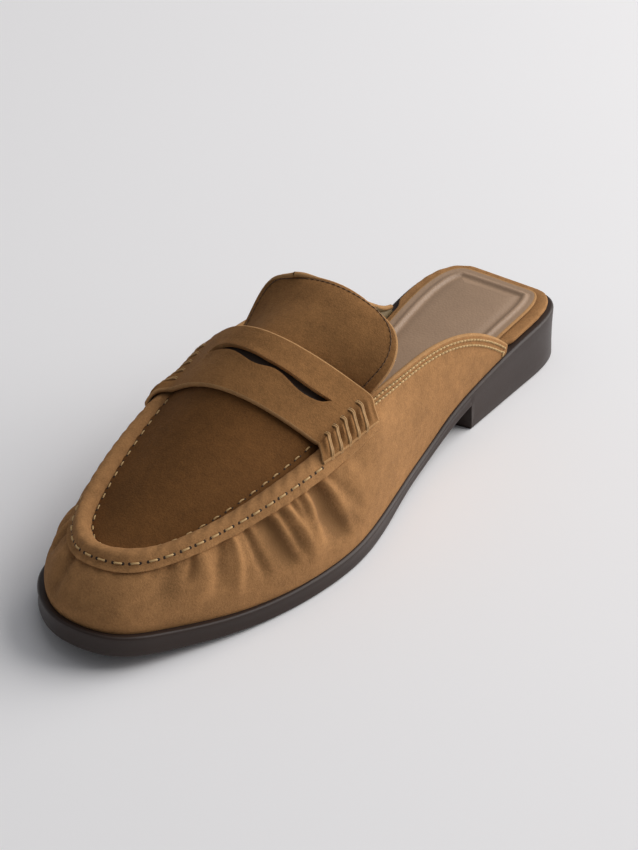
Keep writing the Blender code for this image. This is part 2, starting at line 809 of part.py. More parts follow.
def strap_grids(rows, columns):
    """Under side and top of the strap as grids of rows across the shoe."""
    r = np.linspace(0, 1, rows)
    beds = [strap_bed(value, columns) for value in r]
    points = np.array([bed[0] for bed in beds])
    over = np.array([bed[1] for bed in beds])
    flat = points.reshape(-1, 3)
    normals = vertex_normals(flat, grid_faces(*points.shape[:2])).reshape(points.shape)
    normals *= np.sign(normals[..., 2].mean())
    under = points + normals * (over + GAP)[..., None]
    skived = np.ones(points.shape[1])
    skived[:END_COLUMNS] = skived[-END_COLUMNS:] = STRAP_SKIVED
    return under, under + normals * (STRAP_THICKNESS * skived)[:, None]


def make_slot_cutter(columns):
    """Upright prism of the slot's lip shape, worked out on the strap's own rows."""
    across = np.array([row[0] for row in SLOT])
    outline = []
    for column, order in ((1, 1), (2, -1)):
        line = smooth_line([(row[0], row[column]) for row in SLOT], fineness=4)[::order]
        outline += [tuple(point) for point in line[:-1]]
    plan = []
    for share, r in outline:
        points, _ = strap_bed(r, columns)
        middle = points[END_COLUMNS : END_COLUMNS + columns]
        s = 0.5 * (1 - share)
        place = s * (columns - 1)
        plan.append([np.interp(place, np.arange(columns), middle[:, axis]) for axis in (0, 1)])
    low = 0.5 * INSTEP_HEIGHT
    high = 1.5 * INSTEP_HEIGHT
    plan = np.array(plan)
    count = len(plan)
    vertices = np.vstack(
        [np.column_stack([plan, np.full(count, level)]) for level in (low, high)]
    )
    faces = [(i, (i + 1) % count, (i + 1) % count + count, i + count) for i in range(count)]
    faces += [tuple(range(count)), tuple(range(count, 2 * count))]
    cutter = make_object("slot_cutter", vertices, faces, make_material("suede"))
    cutter.hide_render = True
    cutter.display_type = "WIRE"
    return cutter


def make_strap(material):
    columns = 17
    under, top = strap_grids(9, columns)
    vertices, faces = shell_from_grid(top, under)
    strap = make_object("saddle_strap", vertices, faces, material)
    cut = strap.modifiers.new("slot", "BOOLEAN")
    cut.operation = "DIFFERENCE"
    cut.solver = "EXACT"
    cut.object = make_slot_cutter(columns)
    return strap


# Tongue


def tongue_grid(columns):
    """Outer skin of the tongue, from its seam under the strap to its top edge."""
    seam = THROAT_ALONG + 2 * GAP / LENGTH
    s = np.linspace(0, 1, columns)
    tucked = 0.5 + TONGUE_TUCK * (s - 0.5)
    rows = []
    for r in np.linspace(0, 0.4, 2):
        lateral = EDGE_LINE.u_at_along((1 - r) * seam + r * STRAP_BACK[0], True)
        medial = EDGE_LINE.u_at_along((1 - r) * seam + r * STRAP_BACK[1], False)
        rows.append(rung_point(lateral + 0 * s, medial + 0 * s, tucked))
    table = np.array(TONGUE)
    steps = np.arange(len(table), dtype=float)
    at = np.linspace(0, steps[-1], 3 * (len(table) - 1) + 1)
    scale = np.array([LENGTH, BALL_WIDTH, INSTEP_HEIGHT])
    share = s[:, None]
    for row in cubic(steps, table, False, at):
        lateral = (row[0:3] * scale)[[1, 0, 2]]
        medial = (row[3:6] * scale)[[1, 0, 2]]
        middle = np.array([0, -row[7] * LENGTH, row[6] * INSTEP_HEIGHT])
        rows.append(lateral * (1 - share) + medial * share + crown(share) * middle)
    return np.array(rows)


def make_tongue(material):
    outer = tongue_grid(13)
    flat = outer.reshape(-1, 3)
    normals = vertex_normals(flat, grid_faces(*outer.shape[:2])).reshape(outer.shape)
    normals *= np.sign(normals[..., 2].mean())
    vertices, faces = shell_from_grid(outer, outer - TONGUE_THICKNESS * normals)
    return make_object("tongue", vertices, faces, material)


def main():
    for leftover in list(bpy.data.objects):
        bpy.data.objects.remove(leftover, do_unlink=True)
    suede = make_material("suede")
    make_outsole(make_material("sole"))
    make_insole(suede)
    make_sock(make_material("sock leather"))
    make_upper(suede)
    make_tongue(suede)
    make_strap(suede)


main()
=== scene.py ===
"""Loafer mule, left shoe: the fine pieces, their finishes and the studio they stand in.

The origin lies on the floor under the middle of the sole. The toe points to -Y, the outer
(lateral) side of the foot to +X, and Z is up. Lengths are metres.
"""

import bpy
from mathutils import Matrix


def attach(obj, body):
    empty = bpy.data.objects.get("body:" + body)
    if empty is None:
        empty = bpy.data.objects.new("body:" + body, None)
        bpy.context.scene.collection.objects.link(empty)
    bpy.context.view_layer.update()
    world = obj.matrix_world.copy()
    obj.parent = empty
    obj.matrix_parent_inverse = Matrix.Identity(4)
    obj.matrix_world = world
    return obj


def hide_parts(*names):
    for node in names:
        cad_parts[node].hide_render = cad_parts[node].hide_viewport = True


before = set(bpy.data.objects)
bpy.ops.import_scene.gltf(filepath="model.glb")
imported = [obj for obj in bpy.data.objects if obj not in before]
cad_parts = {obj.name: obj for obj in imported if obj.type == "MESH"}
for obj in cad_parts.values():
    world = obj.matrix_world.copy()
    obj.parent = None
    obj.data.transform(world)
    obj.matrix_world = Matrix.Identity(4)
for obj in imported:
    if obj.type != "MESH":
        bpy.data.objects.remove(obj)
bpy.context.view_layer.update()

import bmesh
import bpy
import numpy as np
from bpy.props import FloatProperty, FloatVectorProperty, IntProperty, PointerProperty
from mathutils import Vector

bl_info = {
    "name": "Loafer mule",
    "version": (1, 0, 0),
    "blender": (4, 5, 0),
    "location": "View3D > Sidebar > Mule",
    "description": "Builds a suede loafer mule piece by piece on its packed frame",
    "category": "Object",
}

MILLIMETRE = 0.001

# Main sizes
LENGTH = 0.268
BALL_WIDTH = 0.0902
INSTEP_HEIGHT = 0.0686
HEEL_HEIGHT = 0.0220
TOE_SPRING = 0.0069
SOLE_THICKNESS = 0.0070
TOE_THICKENING = 0.0012
WAIST_LIFT = 0.0108
WAIST_TWIST = 0.0024
HEEL_LENGTH = 0.0750
BREAST_SKEW = 0.14
BREAST_SLOPE = 0.00025
BREAST_CLEARANCE = 0.0040
WELT_AT_TOE = 0.0027
WELT_AT_SIDE = 0.0013
TREAD_ROUNDING = 0.0010
WELT_ROUNDING = 0.0005

# Materials' thicknesses and the gap that keeps two pieces apart
GAP = 0.0003
WALL = 0.0020
TONGUE_THICKNESS = 0.0022
STRAP_THICKNESS = 0.0020
STRAP_SKIVED = 0.6
STRAP_EASE = 0.0003
INSOLE_THICKNESS = 0.0020
SOCK_THICKNESS = 0.0010

# Apron seam: a rolled ridge above a short raw lip
ROLL_HEIGHT = 0.0031
ROLL_UNDER_STRAP = 0.4
LIP_THICKNESS = 0.0011
LIP_FOOT = 0.88
WALL_BULGE = 0.0015
MEDIAL_FALL = 0.15

# Footbed
INSOLE_MARGIN = 0.0023
INSOLE_ROUNDING = 0.0008
INSOLE_CLEARANCE = 0.0007
SOCK_MARGIN = 0.0068

# The quarters end at this share of the length, and the plug and the strap at these ones
TAIL_ALONG = 0.332
THROAT_ALONG = -0.048
STRAP_FRONT = (-0.122, -0.130)
STRAP_BACK = (-0.017, -0.014)

# Sole edge. along: share of LENGTH from the middle, heel positive.
# lateral, medial: share of BALL_WIDTH from the centre line.
SOLE_HEEL = (0.500, 0.0)
SOLE_TOE = (-0.500, -0.028)
SOLE_EDGE = (
    # along, lateral, medial
    (0.496, 0.210, -0.203),
    (0.458, 0.297, -0.300),
    (0.373, 0.318, -0.319),
    (0.261, 0.324, -0.286),
    (0.166, 0.334, -0.265),
    (0.074, 0.375, -0.290),
    (-0.019, 0.440, -0.367),
    (-0.112, 0.491, -0.466),
    (-0.187, 0.488, -0.508),
    (-0.261, 0.451, -0.497),
    (-0.345, 0.376, -0.447),
    (-0.424, 0.273, -0.366),
    (-0.484, 0.154, -0.186),
)

# Top of the sole behind the ball, as a share of the rise to the heel seat, and the underside
# of the waist, as a share of WAIST_LIFT.
SEAT_RISE = (
    # along, share
    (-0.110, 0.0),
    (-0.010, 0.05),
    (0.060, 0.17),
    (0.135, 0.37),
    (0.187, 0.55),
    (0.280, 0.76),
    (0.392, 0.94),
    (0.500, 1.0),
)
WAIST_RISE = (
    # along, share
    (-0.080, 0.0),
    (-0.030, 0.08),
    (0.037, 0.36),
    (0.112, 0.63),
    (0.187, 0.88),
    (0.230, 1.0),
)

# Outer stitch line of the apron seam, which runs on through the quarters a little under their
# top edge. along: share of LENGTH. across: share of BALL_WIDTH. height: share of INSTEP_HEIGHT.
SEAM_TOE = (-0.439, -0.043, 0.470)
SEAM = (
    # along, lateral across, lateral height, medial across, medial height
    (0.332, 0.308, 0.310, -0.304, 0.305),
    (0.240, 0.318, 0.477, -0.327, 0.432),
    (0.151, 0.326, 0.574, -0.370, 0.566),
    (0.060, 0.344, 0.606, -0.417, 0.622),
    (-0.011, 0.386, 0.640, -0.441, 0.625),
    (-0.045, 0.406, 0.655, -0.440, 0.610),
    (-0.112, 0.399, 0.624, -0.440, 0.562),
    (-0.204, 0.366, 0.583, -0.416, 0.520),
    (-0.297, 0.297, 0.531, -0.364, 0.480),
    (-0.382, 0.200, 0.490, -0.270, 0.460),
    (-0.428, 0.093, 0.477, -0.156, 0.460),
)

# Inner edge of the apron seam, which runs on as the top edge of the quarters. Same columns.
EDGE_TOE = (-0.412, -0.050, 0.478)
EDGE = (
    # along, lateral across, lateral height, medial across, medial height
    (0.336, 0.304, 0.335, -0.299, 0.322),
    (0.310, 0.304, 0.420, -0.298, 0.365),
    (0.240, 0.306, 0.586, -0.323, 0.541),
    (0.151, 0.303, 0.684, -0.357, 0.675),
    (0.060, 0.317, 0.713, -0.402, 0.732),
    (-0.013, 0.320, 0.713, -0.428, 0.708),
    (-0.075, 0.315, 0.669, -0.410, 0.668),
    (-0.133, 0.306, 0.618, -0.398, 0.622),
    (-0.203, 0.287, 0.589, -0.369, 0.574),
    (-0.277, 0.245, 0.548, -0.315, 0.531),
    (-0.347, 0.167, 0.496, -0.248, 0.485),
    (-0.392, 0.077, 0.483, -0.169, 0.469),
)

# Arch of the plug over the foot. Each rung runs from edge to edge: along is where its ends
# stand, rise its height in the middle (share of INSTEP_HEIGHT), bow how far its middle lies
# toward the toe (share of LENGTH).
ARCH = (
    # along, rise, bow
    (-0.412, 0.004, 0.0),
    (-0.392, 0.016, 0.010),
    (-0.347, 0.045, 0.021),
    (-0.277, 0.088, 0.026),
    (-0.203, 0.148, 0.028),
    (-0.125, 0.233, 0.031),
    (-0.014, 0.296, 0.050),
    (0.060, 0.322, 0.055),
)

# Tongue behind the strap. Each rung runs from its lateral to its medial edge, given by along,
# across and height; rise and bow are those of its middle, as in ARCH.
TONGUE = (
    # lateral along, across, height, medial along, across, height, rise, bow
    (-0.025, 0.286, 0.660, -0.025, -0.370, 0.660, 0.345, 0.033),
    (-0.006, 0.345, 0.800, 0.002, -0.352, 0.765, 0.279, 0.008),
    (0.017, 0.363, 0.897, 0.028, -0.345, 0.870, 0.200, 0.010),
    (0.041, 0.317, 1.000, 0.043, -0.305, 1.000, 0.112, 0.006),
    (0.052, 0.200, 1.070, 0.044, -0.215, 1.105, 0.037, -0.008),
)
TONGUE_TUCK = 0.92

# Slot in the strap. across: share of the half width from the middle, lateral positive.
# back, front: share of the strap from its front edge to its back edge.
SLOT = (
    # across, back, front
    (-0.62, 0.50, 0.48),
    (-0.55, 0.61, 0.51),
    (-0.40, 0.66, 0.55),
    (-0.20, 0.65, 0.55),
    (0.02, 0.63, 0.48),
    (0.15, 0.61, 0.48),
    (0.28, 0.60, 0.52),
    (0.42, 0.59, 0.49),
    (0.60, 0.57, 0.43),
    (0.76, 0.58, 0.48),
    (0.82, 0.60, 0.57),
)

# Gathers of the side wall. Each fold is a soft trough (height below 0) or ridge, as wide as
# half_width on each side, on a line of places (t, v): t is the distance from the toe along the
# seam, lateral positive, v the share of the way up the wall. Distances are millimetres.
FOLDS = (
    # half_width, height, top, ..., foot
    (3.4, -0.75, (25.2, 0.88), (26.3, 0.55), (27.5, 0.38)),
    (1.5, -0.95, (34.7, 0.86), (34.9, 0.59)),
    (3.0, 0.75, (37.5, 0.86), (43.7, 0.46), (41.5, 0.26)),
    (2.4, -1.05, (45.9, 0.86), (46.1, 0.61), (48.0, 0.40)),
    (1.7, 0.85, (50.1, 0.88), (54.3, 0.52), (55.9, 0.24)),
    (1.5, -1.15, (55.9, 0.88), (59.3, 0.63), (65.6, 0.32)),
    (4.0, -2.1, (63.3, 0.88), (69.9, 0.54), (77.4, 0.29)),
    (1.6, 1.0, (66.8, 0.88), (73.6, 0.56), (80.4, 0.29)),
    (1.6, -0.95, (70.4, 0.88), (74.9, 0.63), (81.5, 0.37)),
    (1.7, 0.75, (72.8, 0.88), (79.6, 0.60), (87.0, 0.24)),
    (1.1, -0.85, (76.0, 0.88), (79.5, 0.67)),
    (1.1, -0.85, (79.7, 0.88), (82.8, 0.65)),
    (2.2, 0.95, (82.5, 0.87), (86.2, 0.57), (90.1, 0.27)),
    (4.5, -2.4, (87.0, 0.88), (93.2, 0.51), (104.0, 0.22)),
    (2.0, 1.0, (91.2, 0.87), (98.6, 0.53), (107.0, 0.20)),
    (2.2, -0.55, (94.0, 0.88), (102.2, 0.59), (111.4, 0.33)),
    (2.5, 0.35, (101.0, 0.88), (110.0, 0.55)),
    (2.4, -0.4, (108.3, 0.88), (112.0, 0.74)),
    (2.2, -0.9, (-9.3, 0.86), (-10.0, 0.53), (-13.0, 0.22)),
    (3.0, 0.35, (-15.0, 0.84), (-17.0, 0.45)),
    (1.9, -0.9, (-24.9, 0.86), (-27.2, 0.52)),
    (1.6, 0.7, (-28.4, 0.84), (-30.2, 0.53)),
    (1.9, -1.0, (-32.0, 0.86), (-36.4, 0.43)),
    (1.7, 0.7, (-37.8, 0.84), (-40.2, 0.43)),
    (3.4, -1.5, (-44.3, 0.86), (-48.1, 0.46), (-48.6, 0.26)),
    (2.2, 0.8, (-53.2, 0.84), (-59.6, 0.33), (-59.6, 0.14)),
    (1.9, -1.1, (-59.3, 0.86), (-63.2, 0.45), (-66.0, 0.16)),
    (1.4, 0.7, (-62.6, 0.86), (-67.6, 0.52)),
    (2.0, 1.1, (-69.3, 0.86), (-71.2, 0.41), (-71.8, 0.19)),
    (1.6, -1.0, (-73.0, 0.86), (-76.6, 0.46)),
    (1.5, 0.7, (-76.7, 0.86), (-78.4, 0.54)),
    (3.2, -1.5, (-81.1, 0.86), (-84.5, 0.49), (-87.6, 0.30)),
    (1.8, -0.8, (-86.7, 0.86), (-91.8, 0.43)),
    (1.6, 0.7, (-89.5, 0.86), (-96.2, 0.43), (-98.9, 0.28)),
    (1.7, -0.8, (-93.1, 0.86), (-98.5, 0.49)),
    (1.6, 0.6, (-96.2, 0.86), (-104.1, 0.43)),
    (2.0, -0.5, (-98.1, 0.88), (-109.0, 0.55)),
)
FOLD_FADE = 0.16
FOLD_DEPTH = 1.25

# Section of the lip under the seam. up: place on the wall. out: share of LIP_THICKNESS.
LIP_ROWS = (
    # up, out
    (0.886, -0.28),
    (0.898, -0.10),
    (0.904, 0.62),
    (0.912, 1.02),
    (0.930, 1.14),
    (0.955, 1.06),
    (0.980, 0.90),
)
RAW_ROWS = (1, 4)

# Finer cutting of the same forms
QUARTER_STATIONS = 110
APRON_STATIONS = 165
PLUG_COLUMNS = 50
SOLE_STATIONS = 200
WALL_COUNT = 36
ROLL_COUNT = 22
STRAP_COLUMNS = 111
STRAP_ROLL_ROWS = tuple(0.86 * i / 13 for i in range(14))
END_COLUMNS = len(STRAP_ROLL_ROWS)

# Seams
SEAM_PITCH = 0.0058
SEAM_STITCH = 0.0031
SEAM_THREAD = 0.00036
QUARTER_PITCH = 0.0024
QUARTER_STITCH = 0.0018
QUARTER_THREAD = 0.00042
QUARTER_ROWS = (0.0015, 0.0036)
TONGUE_EDGE = 0.0021
TONGUE_CORNER = 0.10
WHIP_THREAD = 0.00040
WHIP_COUNT = 5
WHIP_SPAN = (0.10, 0.88)


# Curves


def cubic(knots, points, closed, at):
    """Cubic spline through points at the knots, read at the given places."""
    count = len(knots) - 1
    step = np.diff(knots)
    slope = np.diff(points, axis=0) / step[:, None]
    system = np.zeros((count + 1, count + 1))
    right = np.zeros((count + 1, points.shape[1]))
    for i in range(1, count):
        system[i, i - 1 : i + 2] = (step[i - 1], 2 * (step[i - 1] + step[i]), step[i])
        right[i] = 6 * (slope[i] - slope[i - 1])
    if closed:
        system[0, [0, 1]] = (2 * (step[-1] + step[0]), step[0])
        system[0, count - 1] += step[-1]
        right[0] = 6 * (slope[0] - slope[-1])
        system[count, [0, count]] = (1, -1)
    else:
        system[0, 0] = 1
        system[count, count] = 1
    bend = np.linalg.solve(system, right)
    i = np.clip(np.searchsorted(knots, at, side="right") - 1, 0, count - 1)
    near = (at - knots[i])[:, None]
    far = (knots[i + 1] - at)[:, None]
    width = step[i][:, None]
    return (
        (bend[i] * far**3 + bend[i + 1] * near**3) / (6 * width)
        + (points[i] / width - bend[i] * width / 6) * far
        + (points[i + 1] / width - bend[i + 1] * width / 6) * near
    )


def smooth_line(points, closed=False, fineness=40):
    """Dense polyline on a smooth curve through the points."""
    points = np.array(points, float)
    if closed:
        points = np.vstack([points, points[:1]])
    gaps = np.linalg.norm(np.diff(points, axis=0), axis=1)
    knots = np.r_[0.0, np.cumsum(np.sqrt(gaps))]
    at = np.linspace(0, knots[-1], fineness * (len(points) - 1) + 1)
    return cubic(knots, points, closed, at)


def graph(rows, column):
    """Function of along that reads a column of a table smoothly, flat beyond its ends."""
    line = smooth_line([(row[0], row[column]) for row in rows])
    order = np.argsort(line[:, 0])
    return lambda along: np.interp(along, line[order, 0], line[order, 1])


class SideLine:
    """Curve from the lateral tail round the toe to the medial tail, read by u from 0 to 1.

    u is 0.5 at the toe, and each half is measured by its own length.
    """

    def __init__(self, line, toe_index):
        self.line = line
        travelled = np.r_[0.0, np.cumsum(np.linalg.norm(np.diff(line, axis=0), axis=1))]
        toe = travelled[toe_index]
        first = 0.5 * travelled / toe
        second = 0.5 + 0.5 * (travelled - toe) / (travelled[-1] - toe)
        self.u = np.where(travelled <= toe, first, second)

    def at(self, u):
        return np.stack([np.interp(u, self.u, axis) for axis in self.line.T], -1)

    def u_at_along(self, along, lateral):
        half = self.u <= 0.5 if lateral else self.u >= 0.5
        order = np.argsort(self.line[half, 1])
        return float(np.interp(along * LENGTH, self.line[half, 1][order], self.u[half][order]))


def side_line(rows, toe):
    """SideLine through a table of lateral and medial points and its toe point."""
    scale = np.array([BALL_WIDTH, LENGTH, INSTEP_HEIGHT])
    lateral = [(row[1], row[0], row[2]) for row in rows]
    medial = [(row[3], row[0], row[4]) for row in reversed(rows)]
    points = np.array(lateral + [(toe[1], toe[0], toe[2])] + medial) * scale
    fineness = 40
    return SideLine(smooth_line(points, fineness=fineness), fineness * len(rows))


# Sole edge and sole heights


def sole_outline():
    """Closed plan outline of the sole, from the heel along the lateral side."""
    lateral = [(row[1] * BALL_WIDTH, row[0] * LENGTH) for row in SOLE_EDGE]
    medial = [(row[2] * BALL_WIDTH, row[0] * LENGTH) for row in reversed(SOLE_EDGE)]
    heel = (SOLE_HEEL[1] * BALL_WIDTH, SOLE_HEEL[0] * LENGTH)
    toe = (SOLE_TOE[1] * BALL_WIDTH, SOLE_TOE[0] * LENGTH)
    return smooth_line([heel] + lateral + [toe] + medial, closed=True)[:-1]


OUTLINE = sole_outline()
TOE_INDEX = int(np.argmin(OUTLINE[:, 1]))
HEEL_INDEX = int(np.argmax(OUTLINE[:, 1]))
BREAST_Y = 0.5 * LENGTH - HEEL_LENGTH
seat_share = graph(SEAT_RISE, 1)
waist_share = graph(WAIST_RISE, 1)


def edge_x(y, side):
    """x of the sole's edge at y, on the lateral (1) or the medial (-1) side."""
    part = OUTLINE[: TOE_INDEX + 1] if side > 0 else np.vstack([OUTLINE[TOE_INDEX:], OUTLINE[:1]])
    order = np.argsort(part[:, 1])
    return np.interp(y, part[order, 1], part[order, 0])


def smooth_step(value, low, high):
    share = np.clip((value - low) / (high - low), 0, 1)
    return share * share * (3 - 2 * share)


def twist(x, y):
    """The waist is higher on the medial side."""
    middle = 0.127 * LENGTH
    reach = 0.09 * LENGTH
    return -WAIST_TWIST * np.exp(-(((y - middle) / reach) ** 2)) * x / (0.3 * BALL_WIDTH)


def toe_lift(y):
    """Toe spring: the forepart leaves the floor in front of the tread."""
    start = -0.224 * LENGTH
    reach = 0.5 * LENGTH + start
    return TOE_SPRING * (np.clip(start - y, 0, None) / reach) ** 2


def sole_top(x, y):
    thickness = SOLE_THICKNESS + TOE_THICKENING * smooth_step(-y, 0.3 * LENGTH, 0.5 * LENGTH)
    seat = (HEEL_HEIGHT - SOLE_THICKNESS) * seat_share(y / LENGTH)
    return toe_lift(y) + thickness + seat + twist(x, y)


def sole_bottom(x, y):
    """Underside of the sole in front of the heel's breast."""
    share = waist_share(y / LENGTH)
    return toe_lift(y) + WAIST_LIFT * share + twist(x, y) * smooth_step(share, 0, 0.4)


def inset(loop, distance):
    """Closed plan loop moved inward by a distance, one value or one for each point."""
    along = np.roll(loop, -1, 0) - np.roll(loop, 1, 0)
    along /= np.linalg.norm(along, axis=1)[:, None]
    outward = np.stack([along[:, 1], -along[:, 0]], -1)
    if np.sum((loop - loop.mean(0)) * outward) < 0:
        outward = -outward
    return loop - outward * np.reshape(distance, (-1, 1))


def welt_margin(y):
    """How far the upper stands back from the sole's edge."""
    toe = smooth_step(-y, 0.2 * LENGTH, 0.42 * LENGTH)
    return WELT_AT_SIDE + (WELT_AT_TOE - WELT_AT_SIDE) * toe


def upper_foot():
    """SideLine on the sole's ledge where the upper stands."""
    plan = inset(OUTLINE, welt_margin(OUTLINE[:, 1]))
    first = int(np.argmin(np.abs(plan[:TOE_INDEX, 1] - TAIL_ALONG * LENGTH)))
    last = TOE_INDEX + int(np.argmin(np.abs(plan[TOE_INDEX:, 1] - TAIL_ALONG * LENGTH)))
    plan = plan[first : last + 1]
    height = sole_top(plan[:, 0], plan[:, 1]) + GAP
    return SideLine(np.column_stack([plan, height]), TOE_INDEX - first)


FOOT = upper_foot()
SEAM_LINE = side_line(SEAM, SEAM_TOE)
EDGE_LINE = side_line(EDGE, EDGE_TOE)
arch_rise = graph(ARCH, 1)
arch_bow = graph(ARCH, 2)


# Surface of the upper


def outward_at(u):
    """Level unit vectors that point out of the shoe from its foot line."""
    ahead = FOOT.at(np.clip(u + 0.004, 0, 1)) - FOOT.at(np.clip(u - 0.004, 0, 1))
    level = np.stack([-ahead[..., 1], ahead[..., 0], 0 * ahead[..., 0]], -1)
    return level / np.linalg.norm(level, axis=-1)[..., None]


def wall_point(u, v):
    """Side wall from the foot line (v 0) to the seam line (v 1), as a rounded section."""
    foot = FOOT.at(u)
    seam = SEAM_LINE.at(u)
    out = outward_at(u)
    rise = (seam - foot)[..., 2:] * np.array([0, 0, 1.0])
    inward = -np.sum((seam - foot) * out, -1)[..., None]
    lean_in = np.clip(inward, 0, None)
    lean_out = np.clip(-inward, 0, None)
    bulge = WALL_BULGE * np.clip(rise[..., 2:] / (0.3 * INSTEP_HEIGHT), 0, 1)
    low = foot + 0.45 * rise + out * (bulge + 0.45 * lean_out)
    high = seam - 0.20 * rise + out * (0.38 * lean_in + 0.8 * bulge - 0.1 * lean_out)
    v = np.reshape(v, np.shape(v) + (1,))
    return (
        foot * (1 - v) ** 3
        + 3 * low * v * (1 - v) ** 2
        + 3 * high * v**2 * (1 - v)
        + seam * v**3
    )


def roll_point(u, q):
    """Band from the seam line (q 0) to its inner edge (q 1), without its roll."""
    q = np.reshape(q, np.shape(q) + (1,))
    return SEAM_LINE.at(u) * (1 - q) + EDGE_LINE.at(u) * q


def roll_up(u):
    """Unit vectors that stand on the band between the seam line and its inner edge."""
    across = EDGE_LINE.at(u) - SEAM_LINE.at(u)
    ahead = SEAM_LINE.at(np.clip(u + 0.004, 0, 1)) - SEAM_LINE.at(np.clip(u - 0.004, 0, 1))
    up = np.cross(ahead, across)
    up /= np.linalg.norm(up, axis=-1)[..., None]
    return up * np.sign(np.sum(up * (outward_at(u) + np.array([0, 0, 1.0])), -1))[..., None]


def roll_share(u):
    """The seam's roll and lip sink under the strap and die out at its back corner."""
    ahead = -EDGE_LINE.at(u)[..., 1] / LENGTH
    full = smooth_step(ahead, 0.075, 0.128)
    sunk = ROLL_UNDER_STRAP * smooth_step(ahead, 0.012, 0.040)
    return sunk + (1 - ROLL_UNDER_STRAP) * full


def roll_height(q):
    """Section of the roll, fuller toward its outer side, over the lip at its foot."""
    skewed = q**0.85
    return ROLL_HEIGHT * (1 - np.abs(2 * skewed - 1) ** 2.4) + LIP_THICKNESS * (1 - q) ** 3


def crown(s):
    """Cross-section of the foot's arch between two sides; it falls off faster on the medial."""
    return (4 * s * (1 - s)) ** (1 + MEDIAL_FALL * (s > 0.5))


def rung_point(u_lateral, u_medial, s):
    """Plug between two points of the inner edge; s runs from 0, lateral, to 1, medial."""
    lateral = EDGE_LINE.at(u_lateral)
    medial = EDGE_LINE.at(u_medial)
    along = (lateral + medial)[..., 1:2] / (2 * LENGTH)
    s = np.reshape(s, np.shape(s) + (1,))
    point = lateral * (1 - s) + medial * s
    up = crown(s) * INSTEP_HEIGHT * arch_rise(along)
    forward = crown(s) * LENGTH * arch_bow(along)
    return point + np.concatenate([0 * up, -forward, up], -1)



# Fine surface of the upper

SEAM_STEPS = np.linalg.norm(np.diff(SEAM_LINE.line, axis=0), axis=1)
SEAM_TRAVEL = np.r_[0.0, np.cumsum(SEAM_STEPS)]
SEAM_TRAVEL = np.interp(0.5, SEAM_LINE.u, SEAM_TRAVEL) - SEAM_TRAVEL


def seam_travel(u):
    """Distance from the toe along the seam, lateral positive."""
    return np.interp(u, SEAM_LINE.u, SEAM_TRAVEL)


def u_at_travel(distance):
    return np.interp(-np.asarray(distance), -SEAM_TRAVEL, SEAM_LINE.u)


def stitch_wave(u):
    """1 at the middle of each seam stitch and -1 between two stitches."""
    return np.cos(2 * np.pi * (seam_travel(u) / SEAM_PITCH - 0.5))


def fold_height(u, v):
    """How far the gathers push the wall outward."""
    t = seam_travel(u) / MILLIMETRE
    total = np.zeros(np.broadcast(t, v).shape)
    for half_width, height, *places in FOLDS:
        line = np.array(places)[::-1]
        foot_slope = (line[0] - line[1]) / (line[1, 1] - line[0, 1])
        line = np.vstack([line[0] + 0.25 * foot_slope, line])
        centre = np.interp(v, line[:, 1], line[:, 0])
        low = line[1, 1]
        grown = smooth_step(v, low - FOLD_FADE, low + 0.5 * FOLD_FADE)
        spread = half_width * (1.35 - 0.45 * smooth_step(v, low, line[-1, 1]))
        total += height * grown * np.exp(-(((t - centre) / spread) ** 2))
    apron = smooth_step(np.minimum(112 - t, t + 112), 0, 8)
    pucker = -0.28 * (0.5 + 0.5 * stitch_wave(u)) * smooth_step(v, 0.68, 0.87) * apron
    tucked = 1 - smooth_step(v, 0.875, 0.90)
    depth = bpy.context.scene.mule_sizes.fold_depth
    return (depth * total + pucker) * tucked * MILLIMETRE


def unit(vectors):
    return vectors / np.linalg.norm(vectors, axis=-1)[..., None]


def wall_out(u, v):
    """Outward unit vectors of the plain side wall."""
    ahead = wall_point(np.clip(u + 0.003, 0, 1), v) - wall_point(np.clip(u - 0.003, 0, 1), v)
    up = wall_point(u, np.clip(v + 0.02, 0, 1)) - wall_point(u, np.clip(v - 0.02, 0, 1))
    out = unit(np.cross(up, ahead))
    return out * np.sign(np.sum(out * outward_at(u), -1))[..., None]


def wall_skin(u, v):
    return wall_point(u, v) + fold_height(u, v)[..., None] * wall_out(u, v)


def lip_out(u):
    """How far the raw lip stands out: it follows the gathers under it a little."""
    wave = fold_height(u, 0.86 + 0 * u) / MILLIMETRE
    return roll_share(u) * LIP_THICKNESS * (1 + 0.16 * np.clip(wave, -1.5, 1.5))


def roll_skin(u, q):
    """Outer skin of the ridge, with the groove that the seam stitches pull into it."""
    share = roll_share(u)
    full = smooth_step(share, 0.45, 0.95)
    plump = 1 - 0.035 * stitch_wave(u) * full
    groove = 0.00055 * np.exp(-(((q - 0.045) / 0.045) ** 2))
    inner = 0.00035 * np.exp(-(((q - 1.0) / 0.05) ** 2)) * (1 + 0.6 * stitch_wave(u))
    height = share * roll_height(q) * plump - full * (groove + inner)
    lean = 0.5 * (roll_up(u) + outward_at(u))
    turn = smooth_step(q, 0.0, 0.12)[..., None]
    direction = unit(lean * (1 - turn) + roll_up(u) * turn)
    return roll_point(u, q) + height[..., None] * direction


def plug_skin(u_lateral, u_medial, s):
    """Plug with the slack unevenness of soft suede; it dips beside the ridge."""
    point = rung_point(u_lateral, u_medial, s)
    beside = np.exp(-(((s * (1 - s)) / 0.045) ** 2))
    slack = np.sin(point[..., 1] / 0.0085 + 5 * s) * np.sin(point[..., 0] / 0.011 + 1.7)
    fall = 0.00030 * beside + 0.00016 * (1 + slack) * smooth_step(s * (1 - s), 0.02, 0.15)
    return point - fall[..., None] * np.array([0, 0, 1.0])


# Meshes


